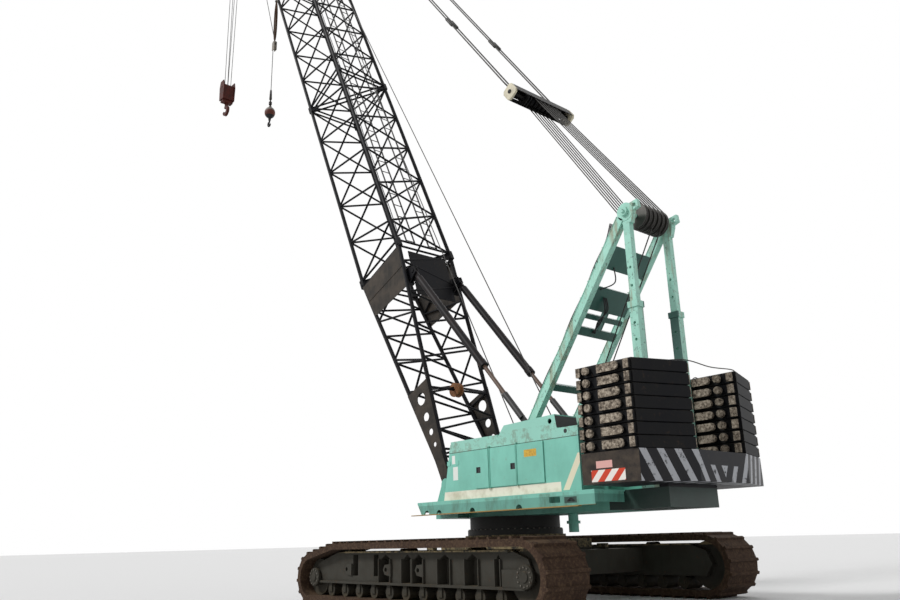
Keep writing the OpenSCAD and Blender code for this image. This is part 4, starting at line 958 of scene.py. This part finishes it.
# Hoses on the gantry's left leg, as distance down it and height off its face
LEG_HOSE = ((0.35, 0.10), (0.75, 0.01), (1.3, 0.03), (1.9, 0.0), (2.6, 0.03), (3.3, 0.0), (4.1, 0.03), (4.9, 0.0),
            (5.7, 0.01))
hoses("gantry_hoses", [[leg_point(s, LEG_Y + dy, 0.167 + h) for s, h in LEG_HOSE]
                       for dy in (-0.04, 0.0, 0.04)], 0.012, "upper")
guide = [[(1.9, 0.25 + k, -0.06), (2.15, 0.16 + k, -0.16), (2.45, 0.26 - k, -0.12), (2.75, 0.12 + k, -0.06)]
         for k in (0.0, 0.05, 0.10)] + [[(1.75, 0.55, -0.06), (1.5, 0.30, -0.14), (1.2, 0.42, -0.05)]]
hoses("gantry_guide_hoses", [[leg_point(*p) for p in path] for path in guide], 0.014, "upper")
CLIPS = np.linspace(BUTT_U + 0.3, TIP_U - 8.0, 24)
hoses("boom_cable", [[boom_point(u, BOOM_HALF + 0.075, BOOM_HALF - 0.03 - 0.02 * (i % 2))
                      for i, u in enumerate(CLIPS)]], 0.012, "boom")
hoses("boom_foot_hoses", [[(0.30 + k, 0.55 + k, 2.95), (0.60, 0.60 + k, 3.35), (0.95, 0.50, 3.40 + k),
                           (1.25, 0.45 + k, 3.15), (1.35, 0.40, 2.75)] for k in (0.0, 0.06, 0.12)], 0.016, "upper")
# Hoses over the roof, as place across it and how far each swings
ROOF_HOSES = ((0.62, 1), (0.74, -1), (0.88, 0.5), (1.00, 1), (1.12, -0.6))
hoses("roof_hoses", [[(-1.02, y, 3.52), (-0.60, y + 0.10 * w, 3.53 + 0.03 * w), (-0.15, y - 0.06 * w, 3.53),
                      (0.22, y + 0.08 * w, 3.56 + 0.05 * w), (0.42, y - 0.05, 3.50), (0.62, y - 0.15 * w, 3.30),
                      (0.66, y - 0.25, 2.98)] for y, w in ROOF_HOSES], 0.026, "upper")
# Valve blocks on the roof, as corner, length, width and height
VALVES = ((0.02, 0.80, 0.30, 0.34, 0.11), (-0.42, 0.95, 0.26, 0.22, 0.08), (0.10, 1.22, 0.16, 0.16, 0.07))
piece("roof_valves", [cuboid((x, y, ROOF_Z - 0.005), (x + a, y + b, ROOF_Z + h)) for x, y, a, b, h in VALVES],
      hose_rubber, "upper", flat=True)
hoses("deck_hoses", [[(-3.42 + k, DECK_HALF + 0.004, 2.03), (-3.34, DECK_HALF + 0.012, 2.08 - k),
                      (-3.24 - k, DECK_HALF + 0.004, 2.03)] for k in (0.0, 0.03)], 0.010, "upper")

HEXAGON = [(0.0001, 0.0), (0.018, 0.0), (0.018, 0.014), (0.015, 0.018), (0.0001, 0.018)]


def bolts(name, origins, axis, body, size=1.0):
    """Chamfered hexagon heads, one at each origin, pointing along axis."""
    head = lathe([(r * size, h * size) for r, h in HEXAGON], (0, 0, 0), axis, 6)
    piece(name, [repeat(head, origins)], bolt_steel, body, flat=True)


turn = np.linspace(0, 2 * np.pi, 49)[:-1, None]
bolts("slew_ring_bolts", np.hstack([1.09 * np.cos(turn), 1.09 * np.sin(turn), np.full_like(turn, 1.56)]), (0, 0, 1),
      "undercarriage", 1.1)
HUBS, HUB_Y = ((-3.48, 0.70), (3.59, 0.59)), 2.86 + 0.390
# Hub cover as radius and height off the hub
DISC = ((0.0001, -0.02), (0.21, -0.02), (0.21, 0.030), (0.20, 0.040), (0.10, 0.040), (0.09, 0.060), (0.0001, 0.060))
covers = [lathe([(r, HUB_Y + h) for r, h in DISC], (x, 0, z), (0, 1, 0), 32) for x, z in HUBS]
piece("hub_covers", mirrored(covers), under_paint, "undercarriage", flat=True)
turn = np.linspace(0, 2 * np.pi, 13)[:-1, None]
for way, word in ((1, "left"), (-1, "right")):
    rings = [np.hstack([x + 0.165 * np.cos(turn), np.full_like(turn, way * (HUB_Y + 0.040)),
                        z + 0.165 * np.sin(turn)]) for x, z in HUBS]
    bolts("cover_bolts_" + word, np.concatenate(rings), (0, way, 0), "undercarriage")


# Floor, backdrop and light

# White that the camera and glossy faces see, and the part of it that lights the machine
SHOWN, LIT = 1.0, 0.55
SUNS = (("key_sun", 1.9, 12.0, (48, 0, 150)), ("fill_sun", 0.5, 40.0, (60, 0, 40)))


def make_stage():
    """A flat pale floor, a white world that shows more than it lights, and two soft suns."""
    r = 300.0
    mesh = bpy.data.meshes.new("floor")
    mesh.from_pydata([(-r, -r, 0), (r, -r, 0), (r, r, 0), (-r, r, 0)], [], [(0, 1, 2, 3)])
    floor = bpy.data.objects.new("floor", mesh)
    scene.collection.objects.link(floor)
    m = start_material("pale_floor", 0.9)
    m.shader["Base Color"].default_value = linear("#D8D8D8")
    mesh.materials.append(m.owner)
    scene.world = bpy.data.worlds.new("studio")
    sky = Nodes(scene.world)
    sky.tree.nodes.clear()
    rays = sky.add("LightPath").node.outputs
    seen = rays["Is Camera Ray"]
    for word in ("Is Glossy Ray", "Is Transmission Ray"):
        seen = sky.add("Math", {"operation": "MAXIMUM"}, (seen, rays[word]))
    back = sky.add("Background", inputs={
        "Color": "#FFFFFF", "Strength": sky.weighted((seen, SHOWN - LIT), start=LIT)})
    sky.add("OutputWorld", inputs=(back,))
    for name, energy, width, turned in SUNS:
        data = bpy.data.lights.new(name, "SUN")
        data.energy, data.angle = energy, math.radians(width)
        lamp = bpy.data.objects.new(name, data)
        lamp.rotation_euler = [math.radians(v) for v in turned]
        scene.collection.objects.link(lamp)


make_stage()
